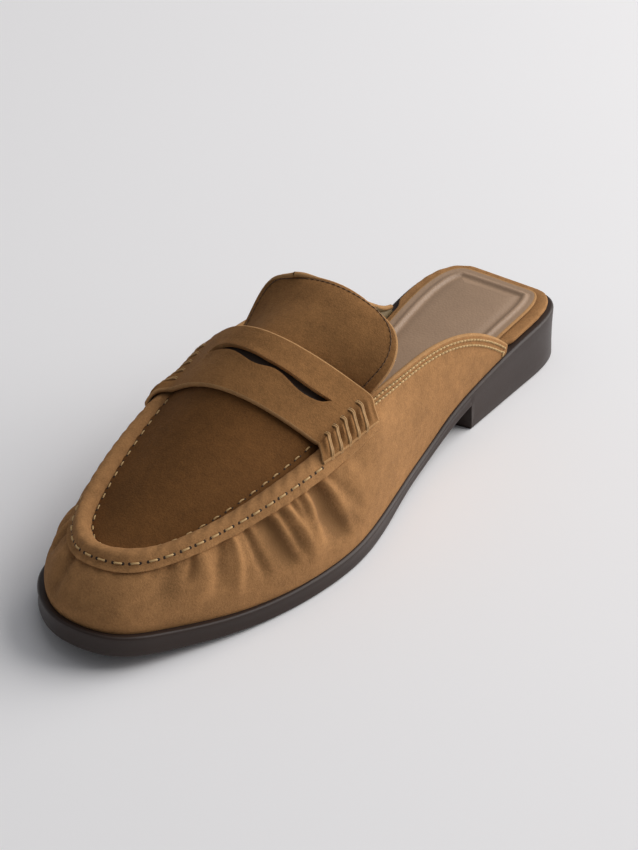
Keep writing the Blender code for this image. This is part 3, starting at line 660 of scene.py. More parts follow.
class Sheet:
    """Points and faces of one piece while it is put together."""

    def __init__(self):
        self.blocks = []
        self.count = 0
        self.faces = []
        self.picks = []

    def points(self, places):
        """Adds points and gives their numbers in the same layout."""
        places = np.asarray(places, float)
        shape = places.shape[:-1]
        size = int(np.prod(shape))
        self.blocks.append(places.reshape(-1, 3))
        self.count += size
        return np.arange(self.count - size, self.count).reshape(shape)

    def places(self):
        return np.vstack(self.blocks)

    def quads(self, grid, pick=0):
        """Faces over a grid of point numbers; pick is a finish, one or one for each face."""
        corners = np.stack([grid[:-1, :-1], grid[:-1, 1:], grid[1:, 1:], grid[1:, :-1]], -1)
        self.faces += corners.reshape(-1, 4).tolist()
        self.picks += np.broadcast_to(pick, corners.shape[:2]).reshape(-1).tolist()

    def fan(self, centre, chain, pick=0):
        self.faces += [[int(centre), int(a), int(b)] for a, b in zip(chain[:-1], chain[1:])]
        self.picks += [pick] * (len(chain) - 1)

    def rim(self, first, second, beside, pick=0, round_share=0.9, steps=3):
        """Rounded edge between two chains; beside is the chain next to the first one."""
        places = self.places()
        a, b, inside = places[first], places[second], places[beside]
        along = np.gradient(a, axis=0)
        across = b - a
        away = np.cross(along, across)
        away /= np.linalg.norm(away, axis=1)[:, None] + 1e-12
        away *= -np.sign(np.sum(away * (inside - a), 1))[:, None]
        reach = 0.5 * round_share * np.linalg.norm(across, axis=1)[:, None]
        rows = [first]
        for turn in np.linspace(0, np.pi, steps + 2)[1:-1]:
            middle = 0.5 * (a + b) - 0.5 * np.cos(turn) * across
            rows.append(self.points(middle + np.sin(turn) * reach * away))
        self.quads(np.array(rows + [second]), pick)

    def zip_chains(self, first, second, pick=0):
        """Triangles between two chains of different counts."""
        places = self.places()
        i = j = 0
        while i < len(first) - 1 or j < len(second) - 1:
            step = i < len(first) - 1
            if step and j < len(second) - 1:
                ahead = np.linalg.norm(places[first[i + 1]] - places[second[j]])
                behind = np.linalg.norm(places[first[i]] - places[second[j + 1]])
                step = ahead <= behind
            if step:
                self.faces.append([int(first[i]), int(first[i + 1]), int(second[j])])
                i += 1
            else:
                self.faces.append([int(first[i]), int(second[j + 1]), int(second[j])])
                j += 1
            self.picks.append(pick)

    def tube(self, path, up, radii, pick=0, sides=8, plies=2.0):
        """Thread along a path, flattened a little and twisted from its plies."""
        path = np.asarray(path, float)
        ahead = unit(np.gradient(path, axis=0))
        side = unit(np.cross(ahead, up))
        up = np.cross(side, ahead)
        turn = np.linspace(0, 2 * np.pi, sides, endpoint=False)
        travelled = np.r_[0.0, np.cumsum(np.linalg.norm(np.diff(path, axis=0), axis=1))]
        twist = travelled / (5 * np.max(radii)) * np.pi
        radius = np.asarray(radii)[:, None] * (1 + 0.10 * np.cos(plies * turn + twist[:, None]))
        round_part = radius[..., None] * (
            np.cos(turn)[None, :, None] * side[:, None] + np.sin(turn)[None, :, None] * up[:, None]
        )
        rings = self.points(path[:, None] + round_part)
        self.quads(np.column_stack([rings, rings[:, :1]]), pick)
        for ring, centre in ((rings[0], path[0]), (rings[-1], path[-1])):
            self.fan(self.points(centre), np.r_[ring, ring[:1]], pick)

    def spot(self, centre, up, ahead, radius, depth, pick=0, sides=9):
        """Needle hole: a small dimple with a soft brim, coloured near-black as painted shade in the hole."""
        side = unit(np.cross(ahead, up))
        turn = np.linspace(0, 2 * np.pi, sides, endpoint=False)
        flat = np.cos(turn)[:, None] * unit(ahead) + np.sin(turn)[:, None] * side
        outer = self.points(centre + radius * flat - 0.2 * depth * up)
        inner = self.points(centre + 0.6 * radius * flat + 0.5 * depth * up)
        self.quads(np.array([np.r_[outer, outer[:1]], np.r_[inner, inner[:1]]]), pick)
        self.fan(self.points(centre + 0.62 * depth * up), np.r_[inner, inner[:1]], pick)


def grid_normals(grid):
    """Unit normals of a grid of points, pointing up on average."""
    across = np.gradient(grid, axis=1)
    along = np.gradient(grid, axis=0)
    normals = np.cross(along, across)
    normals /= np.linalg.norm(normals, axis=-1)[..., None] + 1e-12
    return normals * np.sign(normals[..., 2].mean())


def mesh_normals(places, faces):
    """Average normals of the faces round each point."""
    normals = np.zeros_like(places)
    for size in (3, 4):
        some = np.array([face for face in faces if len(face) == size])
        if not len(some):
            continue
        diagonal = np.cross(places[some[:, 1]] - places[some[:, 0]], places[some[:, 2]] - places[some[:, 0]])
        if size == 4:
            diagonal = np.cross(places[some[:, 2]] - places[some[:, 0]], places[some[:, 3]] - places[some[:, 1]])
        for corner in range(size):
            np.add.at(normals, some[:, corner], diagonal)
    return unit(normals + 1e-15)


def make_piece(name, sheet, finishes, fold=None, merge=0.0, closed=True, sharp=55):
    """Object from a sheet; fold is a value for each point that the finish reads as painted shade in the valleys
    of the gathers and rubbed nap on their ridges.
    """
    mesh = bpy.data.meshes.new(name)
    mesh.from_pydata(sheet.places().tolist(), [], sheet.faces)
    for finish in finishes:
        mesh.materials.append(finish)
    mesh.polygons.foreach_set("material_index", sheet.picks)
    shape = bmesh.new()
    shape.from_mesh(mesh)
    if merge:
        bmesh.ops.remove_doubles(shape, verts=shape.verts[:], dist=merge)
        bmesh.ops.dissolve_degenerate(shape, edges=shape.edges[:], dist=merge)
    if closed:
        bmesh.ops.recalc_face_normals(shape, faces=shape.faces[:])
    shape.to_mesh(mesh)
    shape.free()
    if fold is not None:
        values = np.zeros(len(mesh.vertices))
        values[: len(fold)] = fold
        mesh.attributes.new("fold", "FLOAT", "POINT").data.foreach_set("value", values)
    mesh.shade_smooth()
    mesh.set_sharp_from_angle(angle=np.radians(sharp))
    piece = bpy.data.objects.new(name, mesh)
    bpy.context.scene.collection.objects.link(piece)
    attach(piece, "root")
    return piece


# Outsole and footbed


def ladder_rows(count, start, end):
    """Places from start to end, closer together toward both ends."""
    turn = np.linspace(0, np.pi, count + 2)[1:-1]
    return 0.5 * (start + end) - 0.5 * (end - start) * np.cos(turn)


def ring_of(y_rows):
    """Closed plan loop of the sole's edge: lateral side toe to heel, then medial side back.

    Near the heel's breast its rungs lie askew, as the breast does.
    """
    near = np.exp(-(((y_rows - BREAST_Y) / (0.35 * HEEL_LENGTH)) ** 2))
    sides = []
    for side in (1, -1):
        y = y_rows + BREAST_SKEW * edge_x(y_rows, side) * near
        sides.append(np.column_stack([edge_x(y, side), y]))
    return np.vstack([sides[0], sides[1][::-1]])

def lifted(plan, height):
    return np.column_stack([plan, height(plan[:, 0], plan[:, 1])])


def footbed_ring(margin_inside, margin_at_heel):
    """Closed plan ring inside the upper that widens to the sole's edge behind the quarters."""
    ring = ring_of(ladder_rows(SOLE_STATIONS, -0.5 * LENGTH, 0.5 * LENGTH))
    open_heel = smooth_step(ring[:, 1], (TAIL_ALONG + 0.004) * LENGTH, (TAIL_ALONG + 0.03) * LENGTH)
    margin = margin_inside + (margin_at_heel - margin_inside) * open_heel
    return inset(ring, margin + (1 - open_heel) * welt_margin(ring[:, 1]))



def ladder_block(sheet, rings, picks, columns=1, crown_rise=0.0):
    """Stacked closed rings, closed below from side to side and above by a finer grid."""
    numbers = [sheet.points(ring) for ring in rings]
    for level in range(len(rings) - 1):
        pair = np.array(numbers[level : level + 2])
        sheet.quads(np.column_stack([pair, pair[:, :1]]), picks[level])
    count = len(rings[0])
    half = count // 2
    for ring, numbered, fine in ((rings[0], numbers[0], 1), (rings[-1], numbers[-1], columns)):
        lateral = numbered[:half]
        medial = numbered[half:][::-1]
        rows = [lateral]
        for share in np.linspace(0, 1, fine + 1)[1:-1]:
            between = ring[:half] * (1 - share) + ring[half:][::-1] * share
            width = np.linalg.norm(ring[:half] - ring[half:][::-1], axis=1)
            rise = crown_rise * crown(share) * smooth_step(width, 0, 0.3 * BALL_WIDTH)
            between[:, 2] += rise
            rows.append(sheet.points(between))
        sheet.quads(np.array(rows + [medial]), picks[-1] if fine > 1 or ring is rings[-1] else picks[0])


def outsole_sheet():
    """Moulded sole: rounded tread, a side with a rolled shoulder, and the ledge on top."""
    y_rows = ladder_rows(SOLE_STATIONS, -0.5 * LENGTH, 0.5 * LENGTH)
    y_rows = y_rows[np.abs(y_rows - BREAST_Y) > 0.25 * BREAST_CLEARANCE]
    y_rows = np.sort(np.r_[y_rows, BREAST_Y - BREAST_SLOPE, BREAST_Y + BREAST_SLOPE])
    ring = ring_of(y_rows)
    behind = np.r_[y_rows, y_rows[::-1]] > BREAST_Y
    rings = []
    for turn in np.linspace(0, 0.5 * np.pi, 5):
        plan = inset(ring, TREAD_ROUNDING * (1 - np.sin(turn)))
        floor = np.where(behind, 0.0, sole_bottom(plan[:, 0], plan[:, 1]))
        rings.append(np.column_stack([plan, floor + TREAD_ROUNDING * (1 - np.cos(turn))]))
    low = rings[-1][:, 2]
    shoulder = 2.4 * WELT_ROUNDING
    high = sole_top(ring[:, 0], ring[:, 1]) - shoulder
    for share in (0.25, 0.5, 0.75):
        waist = 0.00025 * np.sin(np.pi * share)
        plan = inset(ring, waist)
        rings.append(np.column_stack([plan, low * (1 - share) + high * share]))
    for turn in np.linspace(0, 0.5 * np.pi, 6):
        plan = inset(ring, shoulder * (1 - np.cos(turn)))
        top = sole_top(plan[:, 0], plan[:, 1]) - shoulder * (1 - np.sin(turn))
        rings.append(np.column_stack([plan, top]))
    inner = inset(ring, 4 * shoulder)
    rings.append(lifted(inner, lambda x, y: sole_top(x, y) - 0.0001))
    sheet = Sheet()
    ladder_block(sheet, rings, [0] * len(rings))
    return sheet


def footbed_sheet():
    """Board wrapped in suede: its edge is rolled and drawn in by small pleats at the heel."""
    beside_wall = WALL + GAP + INSOLE_CLEARANCE
    rings = []
    bottom = GAP
    top = bottom + INSOLE_THICKNESS

    def ring(extra, height):
        plan = footbed_ring(beside_wall + extra, INSOLE_MARGIN + extra)
        level = sole_top(plan[:, 0], plan[:, 1]) + height
        angle = np.arctan2(plan[:, 0], 0.36 * LENGTH - plan[:, 1])
        ripple = 0.00010 * np.sin(34 * angle) * smooth_step(plan[:, 1], 0.36 * LENGTH, 0.42 * LENGTH)
        return np.column_stack([plan, level + ripple * (extra > 0)])

    rings.append(ring(0.6 * INSOLE_ROUNDING, bottom))
    radius = 0.5 * INSOLE_THICKNESS
    for turn in np.linspace(-0.35 * np.pi, 0.5 * np.pi, 8):
        extra = 0.9 * radius * (1 - np.cos(turn))
        rings.append(ring(extra, bottom + radius * (1 + np.sin(turn))))
    for extra, fall in ((0.0020, -0.00012), (0.0032, 0.0), (0.0046, 0.0002), (0.0055, 0.0004)):
        rings.append(ring(extra, top - fall))
    sheet = Sheet()
    ladder_block(sheet, rings, [0] * len(rings))
    return sheet


SOCK_PROFILE = (
    # inward, height over the flat sock, finish
    (0.0000, -0.00075, 1),
    (0.0000, -0.00010, 1),
    (0.0002, 0.00010, 1),
    (0.0008, 0.00012, 0),
    (0.0022, 0.00000, 0),
    (0.0030, -0.00005, 0),
    (0.0036, 0.00035, 0),
    (0.0042, 0.00062, 0),
    (0.0048, 0.00062, 0),
    (0.0054, 0.00030, 0),
    (0.0059, -0.00012, 0),
    (0.0066, -0.00030, 0),
    (0.0074, -0.00018, 0),
    (0.0086, 0.00018, 0),
    (0.0100, 0.00042, 0),
    (0.0120, 0.00052, 0),
)


def sock_sheet():
    """Leather sock: cut edge, moulded bead, channel, and the padded panel inside it."""
    edge = ring_of(ladder_rows(SOLE_STATIONS, -0.5 * LENGTH, 0.5 * LENGTH))
    base = GAP + INSOLE_THICKNESS + GAP
    rings = []
    for inward, height, _ in SOCK_PROFILE:
        plan = inset(edge, SOCK_MARGIN + inward)
        for _ in range(int(7000 * inward)):
            plan = 0.5 * plan + 0.25 * (np.roll(plan, 1, 0) + np.roll(plan, -1, 0))
        level = base + SOCK_THICKNESS + height
        rings.append(lifted(plan, lambda x, y: sole_top(x, y) + level))
    sheet = Sheet()
    ladder_block(sheet, rings, [row[2] for row in SOCK_PROFILE], columns=24, crown_rise=0.0004)
    return sheet


# Upper


def fine_stations():
    """u of every station, and the number of the toe one."""
    lateral_throat = EDGE_LINE.u_at_along(THROAT_ALONG, True)
    medial_throat = EDGE_LINE.u_at_along(THROAT_ALONG, False)
    parts = (
        np.linspace(0, lateral_throat, QUARTER_STATIONS + 1),
        np.linspace(lateral_throat, 0.5, APRON_STATIONS + 1)[1:],
        np.linspace(0.5, medial_throat, APRON_STATIONS + 1)[1:],
        np.linspace(medial_throat, 1, QUARTER_STATIONS + 1)[1:],
    )
    return np.concatenate(parts), QUARTER_STATIONS + APRON_STATIONS


def outer_skin(u):
    """Rows of the outer skin from the foot to the inner edge of the ridge, and their folds."""
    v = np.linspace(0, LIP_FOOT, WALL_COUNT)[None, :]
    grid_u = u + 0 * v
    grid_v = v + 0 * u
    wall = wall_skin(grid_u, grid_v)
    folds = fold_height(grid_u, grid_v)
    up = np.array([row[0] for row in LIP_ROWS])[None, :]
    out = np.array([row[1] for row in LIP_ROWS])[None, :]
    lip = wall_point(u + 0 * up, up + 0 * u)
    lip = lip + (out * lip_out(u))[..., None] * outward_at(u + 0 * up)
    q = (np.linspace(0, 1, ROLL_COUNT)[None, :]) ** 1.15
    roll = roll_skin(u + 0 * q, q + 0 * u)
    skin = np.concatenate([wall, lip, roll], 1)
    folds = np.concatenate([folds, 0 * lip[..., 0], 0 * roll[..., 0]], 1)
    return skin, folds


def skin_grids(sheet, bands, plug, toe, pick, plug_pick):
    """Bands round the shoe and the plug's rungs between them, as grids of point numbers."""
    side = sheet.points(bands)
    sheet.quads(side, pick)
    middle = sheet.points(plug)
    k = np.arange(1, APRON_STATIONS + 1)
    rungs = np.column_stack([side[toe - k, -1], middle, side[toe + k, -1]])
    sheet.fan(side[toe, -1], rungs[0], int(plug_pick[0]))
    sheet.quads(rungs[:, ::-1], plug_pick[1:, None])
    return side, rungs


def upper_parts():
    """Sheet of the upper and the fold value of each point of its outer skin."""
    stations, toe = fine_stations()
    u = stations[:, None]
    bands, folds = outer_skin(u)
    k = np.arange(1, APRON_STATIONS + 1)
    s = np.linspace(0, 1, PLUG_COLUMNS + 1)[None, 1:-1]
    lateral = stations[toe - k][:, None] + 0 * s
    medial = stations[toe + k][:, None] + 0 * s
    plug = plug_skin(lateral, medial, s + 0 * lateral)
    # Plug faces under the strap get the near-black slot colour and the others the darker plug suede: both
    # colours are painted shade.
    under_strap_shade = EDGE_LINE.at(stations[toe - k])[:, 1] > (STRAP_FRONT[0] + 0.016) * LENGTH
    plug_pick = np.where(under_strap_shade, 3, 4)

    sheet = Sheet()
    raw_rows = np.arange(bands.shape[1] - 1) - (WALL_COUNT - 1)
    raw = (raw_rows >= RAW_ROWS[0]) & (raw_rows < RAW_ROWS[1])
    pick = np.where(raw[None, :] & (roll_share(stations[:-1]) > 0.2)[:, None], 2, 0)
    side, rungs = skin_grids(sheet, bands, plug, toe, pick, plug_pick)

    v = np.linspace(0, 0.9, 24)[None, :]
    q = np.linspace(0, 1, 3)[None, :]
    drawn_in = np.minimum(fold_height(u + 0 * v, v + 0 * u), 0)[..., None]
    wall = wall_point(u + 0 * v, v + 0 * u) + drawn_in * wall_out(u + 0 * v, v + 0 * u)
    form = np.concatenate([wall, roll_point(u + 0 * q, q + 0 * u)], 1)
    plain = rung_point(lateral, medial, s + 0 * lateral)
    trial = Sheet()
    skin_grids(trial, form, plain, toe, 1, np.ones(APRON_STATIONS, int))
    normals = mesh_normals(trial.places(), trial.faces)
    places = trial.places()
    foot = np.arange(len(stations)) * form.shape[1]
    normals[foot, 2] = 0
    normals[foot] = unit(normals[foot])
    outward = np.sign(np.sum(normals[foot] * outward_at(stations), 1).mean())
    lining = places - WALL * outward * normals
    lining[foot, 2] = sole_top(lining[foot, 0], lining[foot, 1]) + GAP
    band_size = form.shape[0] * form.shape[1]
    inner, inner_rungs = skin_grids(
        sheet,
        lining[:band_size].reshape(form.shape),
        lining[band_size:].reshape(plain.shape),
        toe,
        1,
        np.ones(APRON_STATIONS, int),
    )
    first = toe - APRON_STATIONS
    last = toe + APRON_STATIONS
    sheet.rim(side[:, 0], inner[:, 0], side[:, 1], 2)
    sheet.rim(side[: first + 1, -1], inner[: first + 1, -1], side[: first + 1, -2], 2)
    sheet.rim(side[last:, -1], inner[last:, -1], side[last:, -2], 2)
    sheet.rim(rungs[-1], inner_rungs[-1], rungs[-2], 2)
    sheet.zip_chains(side[0], inner[0], 2)
    sheet.zip_chains(side[-1], inner[-1], 2)
    values = np.concatenate([folds.reshape(-1), np.zeros(plug.shape[0] * plug.shape[1])])
    return sheet, np.clip(values / MILLIMETRE, -2, 2)


# Saddle strap


def strap_tables(rows=61):
    """Under side and top of the whole strap on even rows, without its slot."""
    r = np.linspace(0, 1, rows)[:, None]
    whips = bpy.context.scene.mule_sizes.whips
    ends = []
    for lateral in (True, False):
        front = STRAP_FRONT[0 if lateral else 1]
        back = STRAP_BACK[0 if lateral else 1]
        places = [EDGE_LINE.u_at_along((1 - x) * front + x * back, lateral) for x in r[:, 0]]
        ends.append(np.array(places)[:, None])
    q = np.array(STRAP_ROLL_ROWS)[None, :]
    s = strap_shares()[None, :]
    sides = []
    lifts = []
    for u in ends:
        lift = roll_height(q) + 0.15 * ROLL_HEIGHT * q
        whip = np.cos(2 * np.pi * (whips * (r - WHIP_SPAN[0]) / (WHIP_SPAN[1] - WHIP_SPAN[0]) - 0.5))
        within = smooth_step(r, 0.02, 0.08) * (1 - smooth_step(r, 0.94, 1.0))
        padded = 0.00075 * (0.25 - whip) * within * np.sin(np.pi * np.clip(q, 0, 1)) ** 0.6
        sides.append(roll_point(u + 0 * q, q + 0 * u))
        lifts.append(roll_share(u) * lift + STRAP_EASE + padded)
    plug = rung_point(ends[0] + 0 * s, ends[1] + 0 * s, s + 0 * r)
    hollow = 0.10 * ROLL_HEIGHT * np.exp(-(((s * (1 - s)) / 0.03) ** 2)) + 0 * r
    points = np.concatenate([sides[0], plug, sides[1][:, ::-1]], 1)
    over = np.concatenate([lifts[0], hollow, lifts[1][:, ::-1]], 1)
    normals = grid_normals(points)
    for _ in range(6):
        normals[:, 1:-1] = unit(normals[:, :-2] + normals[:, 1:-1] + normals[:, 2:])
    under = points + normals * (over + GAP)[..., None]
    for _ in range(10):
        under[:, 3:-3] += 0.25 * (under[:, 2:-4] + under[:, 4:-2] - 2 * under[:, 3:-3])
    skived = np.ones(points.shape[1])
    fade = np.linspace(0, 1, END_COLUMNS)
    skived[:END_COLUMNS] = STRAP_SKIVED + (1 - STRAP_SKIVED) * smooth_step(fade, 0.5, 1)
    skived[-END_COLUMNS:] = skived[:END_COLUMNS][::-1]
    return under, under + normals * (STRAP_THICKNESS * skived)[:, None], normals


def strap_shares():
    """Places across the middle of the strap, with one at each tip of the slot."""
    tips = [0.5 * (1 - SLOT[0][0]), 0.5 * (1 - SLOT[-1][0])]
    places = np.linspace(0, 1, STRAP_COLUMNS - 2)
    near = [int(np.argmin(np.abs(places - tip))) for tip in tips]
    places = np.delete(places, near)
    extra = [tip + shift for tip in tips for shift in (0, 0.004 if tip == tips[1] else -0.004)]
    return np.sort(np.r_[places, extra])


def slot_edges(across):
    """Front and back edge of the slot at places across the strap; they meet at its tips."""
    lines = [smooth_line([(row[0], row[column]) for row in SLOT]) for column in (2, 1)]
    front, back = [np.interp(across, line[:, 0], line[:, 1]) for line in lines]
    centre = 0.5 * (front + back)
    inside = np.minimum(across - SLOT[0][0], SLOT[-1][0] - across)
    opening = 0.5 * (back - front) * np.sqrt(np.clip(inside / 0.05, 0, 1))
    return centre - opening, centre + opening, inside > 1e-6


def read_rows(table, r):
    """Reads an evenly rowed table of points at r, given for each column."""
    place = np.clip(r, 0, 1) * (len(table) - 1)
    low = np.minimum(place.astype(int), len(table) - 2)
    part = (place - low)[..., None]
    column = np.arange(table.shape[1])[None, :]
    return table[low, column] * (1 - part) + table[low + 1, column] * part


def strap_sheet():
    under, top, normals = strap_tables()
    across = 1 - 2 * strap_shares()
    flat = np.full(END_COLUMNS, 1.0)
    across = np.concatenate([flat, across, -flat])
    front, back, open_here = slot_edges(across)
    sheet = Sheet()
    grids = []
    for start, end, count in ((0 * front, front, 26), (back, 1 + 0 * back, 22)):
        share = smooth_step(np.linspace(0, 1, count), 0, 1)[:, None]
        r = start * (1 - share) + end * share
        near = np.minimum(np.abs(r - front), np.abs(r - back)) / 0.07
        curl = 0.00035 * np.exp(-(near**2)) * open_here
        lift = curl[..., None] * read_rows(normals, r)
        grids.append(
            (sheet.points(read_rows(top, r) + lift), sheet.points(read_rows(under, r) + lift))
        )
    for over, below in grids:
        sheet.quads(over, 0)
        sheet.quads(below, 1)
        sheet.rim(over[:, 0], below[:, 0], over[:, 1], 2, steps=2)
        sheet.rim(over[:, -1], below[:, -1], over[:, -2], 2, steps=2)
    (over_front, below_front), (over_back, below_back) = grids
    sheet.rim(over_front[0], below_front[0], over_front[1], 2)
    sheet.rim(over_back[-1], below_back[-1], over_back[-2], 2)
    hole = np.flatnonzero(open_here)
    hole = np.r_[hole[0] - 1, hole, hole[-1] + 1]
    for over, below in ((over_front[-1], below_front[-1]), (over_back[0], below_back[0])):
        sheet.quads(np.array([over[hole], below[hole]]), 2)
    return sheet


def whip_sheet():
    """Double threads wrapped over both rolled ends of the strap, with their needle holes."""
    under, top, normals = strap_tables()
    whips = bpy.context.scene.mule_sizes.whips
    thread = Sheet()
    for lateral in (True, False):
        table = top if lateral else top[:, ::-1]
        lifted_table = normals if lateral else normals[:, ::-1]
        for i in range(whips):
            share = WHIP_SPAN[0] + (i + 0.5) / whips * (WHIP_SPAN[1] - WHIP_SPAN[0])
            for strand in (-1, 1):
                columns = np.arange(0, END_COLUMNS + 4)
                slant = 0.010 * columns / END_COLUMNS
                r = share + 0.012 * strand + slant - 0.02
                place = np.clip(r, 0, 1) * (len(table) - 1)
                low = place.astype(int)
                part = (place - low)[:, None]
                path = table[low, columns] * (1 - part) + table[low + 1, columns] * part
                up = lifted_table[low, columns]
                lift = WHIP_THREAD * (1.0 - 1.6 * (columns == columns[-1]))
                path = path + up * lift[:, None]
                foot = path[0] - 0.0011 * up[0] - np.array([0, 0, 0.0008])
                path = np.vstack([foot, path])
                up = np.vstack([up[:1], up])
                thread.tube(path, up, np.full(len(path), WHIP_THREAD), 0)
                thread.spot(path[-1] + 0.0001 * up[-1], up[-1], path[-1] - path[-2], 0.00085, 0.0002, 1)
    return thread


# Tongue


def tongue_grid(columns, rows, corner=0.0):
    """Outer skin of the tongue, from its seam under the strap to its top edge."""
    seam = THROAT_ALONG + 2 * GAP / LENGTH
    s = np.linspace(0, 1, columns)
    tucked = 0.5 + TONGUE_TUCK * (s - 0.5)
    grid = []
    for r in np.linspace(0, 0.4, 5):
        lateral = EDGE_LINE.u_at_along((1 - r) * seam + r * STRAP_BACK[0], True)
        medial = EDGE_LINE.u_at_along((1 - r) * seam + r * STRAP_BACK[1], False)
        grid.append(rung_point(lateral + 0 * s, medial + 0 * s, tucked))
    table = np.array(TONGUE)
    steps = np.arange(len(table), dtype=float)
    scale = np.array([LENGTH, BALL_WIDTH, INSTEP_HEIGHT])
    share = s[:, None]
    for row, step in zip(
        cubic(steps, table, False, np.linspace(0, steps[-1], rows)), np.linspace(0, 1, rows)
    ):
        lateral = (row[0:3] * scale)[[1, 0, 2]]
        medial = (row[3:6] * scale)[[1, 0, 2]]
        rounded = corner * smooth_step(step, 0.76, 1.0) ** 2
        medial = medial + (lateral - medial) * rounded
        middle = np.array([0, -row[7] * LENGTH, row[6] * INSTEP_HEIGHT])
        grid.append(lateral * (1 - share) + medial * share + crown(share) * middle)
    return np.array(grid)


def tongue_sheet():
    outer = tongue_grid(49, 45, TONGUE_CORNER)
    inner = outer - TONGUE_THICKNESS * grid_normals(tongue_grid(49, 45))
    sheet = Sheet()
    over = sheet.points(outer)
    below = sheet.points(inner)
    # The tongue's first rows, under the strap, get the near-black slot colour: painted shade.
    strap_shade_rows = np.where(np.arange(len(outer) - 1) < 5, 3, 0)[:, None]
    sheet.quads(over, strap_shade_rows)
    sheet.quads(below, 1)
    sheet.rim(over[0], below[0], over[1], 2, 0.5)
    sheet.rim(over[-1], below[-1], over[-2], 2, 0.8)
    sheet.rim(over[:, 0], below[:, 0], over[:, 1], 2, 0.8)
    sheet.rim(over[:, -1], below[:, -1], over[:, -2], 2, 0.8)
    return sheet


# Stitches


def run_stitches(sheet, path, up, pitch, length, radius, hole, first=0.5):
    """Row of stitches with their needle holes along a dense line on a surface."""
    travelled = np.r_[0.0, np.cumsum(np.linalg.norm(np.diff(path, axis=0), axis=1))]
    centre = first * pitch
    arch = np.linspace(-1, 1, 7)
    while centre + 0.5 * length < travelled[-1]:
        at = centre + 0.5 * length * arch
        line = np.stack([np.interp(at, travelled, axis) for axis in path.T], -1)
        rise = np.stack([np.interp(at, travelled, axis) for axis in up.T], -1)
        rise = unit(rise)
        line = line + rise * (radius * (0.75 - 1.5 * arch**4))[:, None]
        sheet.tube(line, rise, radius * (1 - 0.25 * arch**4))
        for end in (0, -1):
            ahead = line[-1] - line[0]
            away = (end * 2 + 1) * -1
            place = line[end] + unit(ahead) * away * 0.35 * hole
            place = place - rise[end] * np.sum((place - line[end]) * rise[end])
            place = place + rise[end] * (0.75 * radius)
            sheet.spot(place, rise[end], ahead, hole, 0.45 * radius, 1)
        centre += pitch


def band_line(distances, q):
    u = u_at_travel(distances)
    path = roll_skin(u, q + 0 * u)
    step = roll_skin(u, q + 0.02 + 0 * u) - roll_skin(u, q - 0.02 + 0 * u)
    ahead = np.gradient(path, axis=0)
    up = unit(np.cross(step, ahead))
    return path, up * np.sign(np.sum(up * (outward_at(u) + np.array([0, 0, 1.0])), 1))[:, None]


def apron_ends():
    """Distances from the toe at which the seam runs under the strap on both sides."""
    lateral = EDGE_LINE.u_at_along(STRAP_FRONT[0], True)
    medial = EDGE_LINE.u_at_along(STRAP_FRONT[1], False)
    return float(seam_travel(medial)), float(seam_travel(lateral))


def apron_stitches():
    medial, lateral = apron_ends()
    sheet = Sheet()
    first = np.ceil(medial / SEAM_PITCH) * SEAM_PITCH
    distances = np.arange(first, lateral, 0.0004)
    path, up = band_line(distances, 0.035)
    thread = bpy.context.scene.mule_sizes.seam_thread
    for start in np.arange(first, lateral - SEAM_PITCH, SEAM_PITCH):
        near = (distances >= start) & (distances <= start + SEAM_PITCH)
        run_stitches(sheet, path[near], up[near], SEAM_PITCH, SEAM_STITCH, thread, 0.00062, 0.46)
    u = u_at_travel(distances)
    edge = plug_line(u)
    rise = np.tile([0, 0, 1.0], (len(edge), 1))
    for start in np.arange(first, lateral - SEAM_PITCH, SEAM_PITCH):
        near = (distances >= start) & (distances <= start + SEAM_PITCH)
        run_stitches(sheet, edge[near], rise[near], 0.0054, 0.0024, 0.00028, 0.00055, 0.40)
    return sheet


def plug_line(u):
    """Line on the plug just inside the ridge."""
    mate = 1 - u
    s = np.where(u <= 0.5, 0.030, 0.970)
    lateral = np.where(u <= 0.5, u, mate)
    path = plug_skin(lateral, 1 - lateral, s)
    near_toe = np.abs(u - 0.5) < 0.02
    edge = roll_skin(u, 0.985 + 0 * u)
    return np.where(near_toe[:, None], edge, path)


def quarter_stitches():
    """Two rows of close stitches under the topline that turn down the tail of each quarter."""
    sheet = Sheet()
    for side in (0, 1):
        back = STRAP_BACK[side]
        u_strap = EDGE_LINE.u_at_along(back + 0.004, side == 0)
        u_tail = 0.004 if side == 0 else 0.996
        u = np.linspace(u_strap, u_tail, 700)
        width = np.linalg.norm(EDGE_LINE.at(u) - SEAM_LINE.at(u), axis=1)
        for row in QUARTER_ROWS:
            q = 1 - row / width
            inside = q > 0.02
            wall_v = 1 - np.clip(row - width, 0, None) / np.linalg.norm(
                (SEAM_LINE.at(u) - FOOT.at(u)), axis=1
            )
            on_band = roll_skin(u, np.clip(q, 0.02, 1))
            on_wall = wall_skin(u, np.clip(wall_v, 0, 1))
            path = np.where(inside[:, None], on_band, on_wall)
            up = unit(outward_at(u) + np.array([0, 0, 0.25]))
            run_stitches(
                sheet, path[::2], up[::2], QUARTER_PITCH, QUARTER_STITCH, QUARTER_THREAD, 0.00042
            )
        for row in QUARTER_ROWS:
            length = float(SEAM_TRAVEL[0] if side == 0 else -SEAM_TRAVEL[-1])
            inward = row / length * 0.5
            u_end = inward if side == 0 else 1 - inward
            v = np.linspace(0.97, 0.10, 160)
            path = wall_skin(u_end + 0 * v, v)
            up = wall_out(u_end + 0 * v, v)
            run_stitches(sheet, path, up, QUARTER_PITCH, QUARTER_STITCH, QUARTER_THREAD, 0.00042)
    return sheet


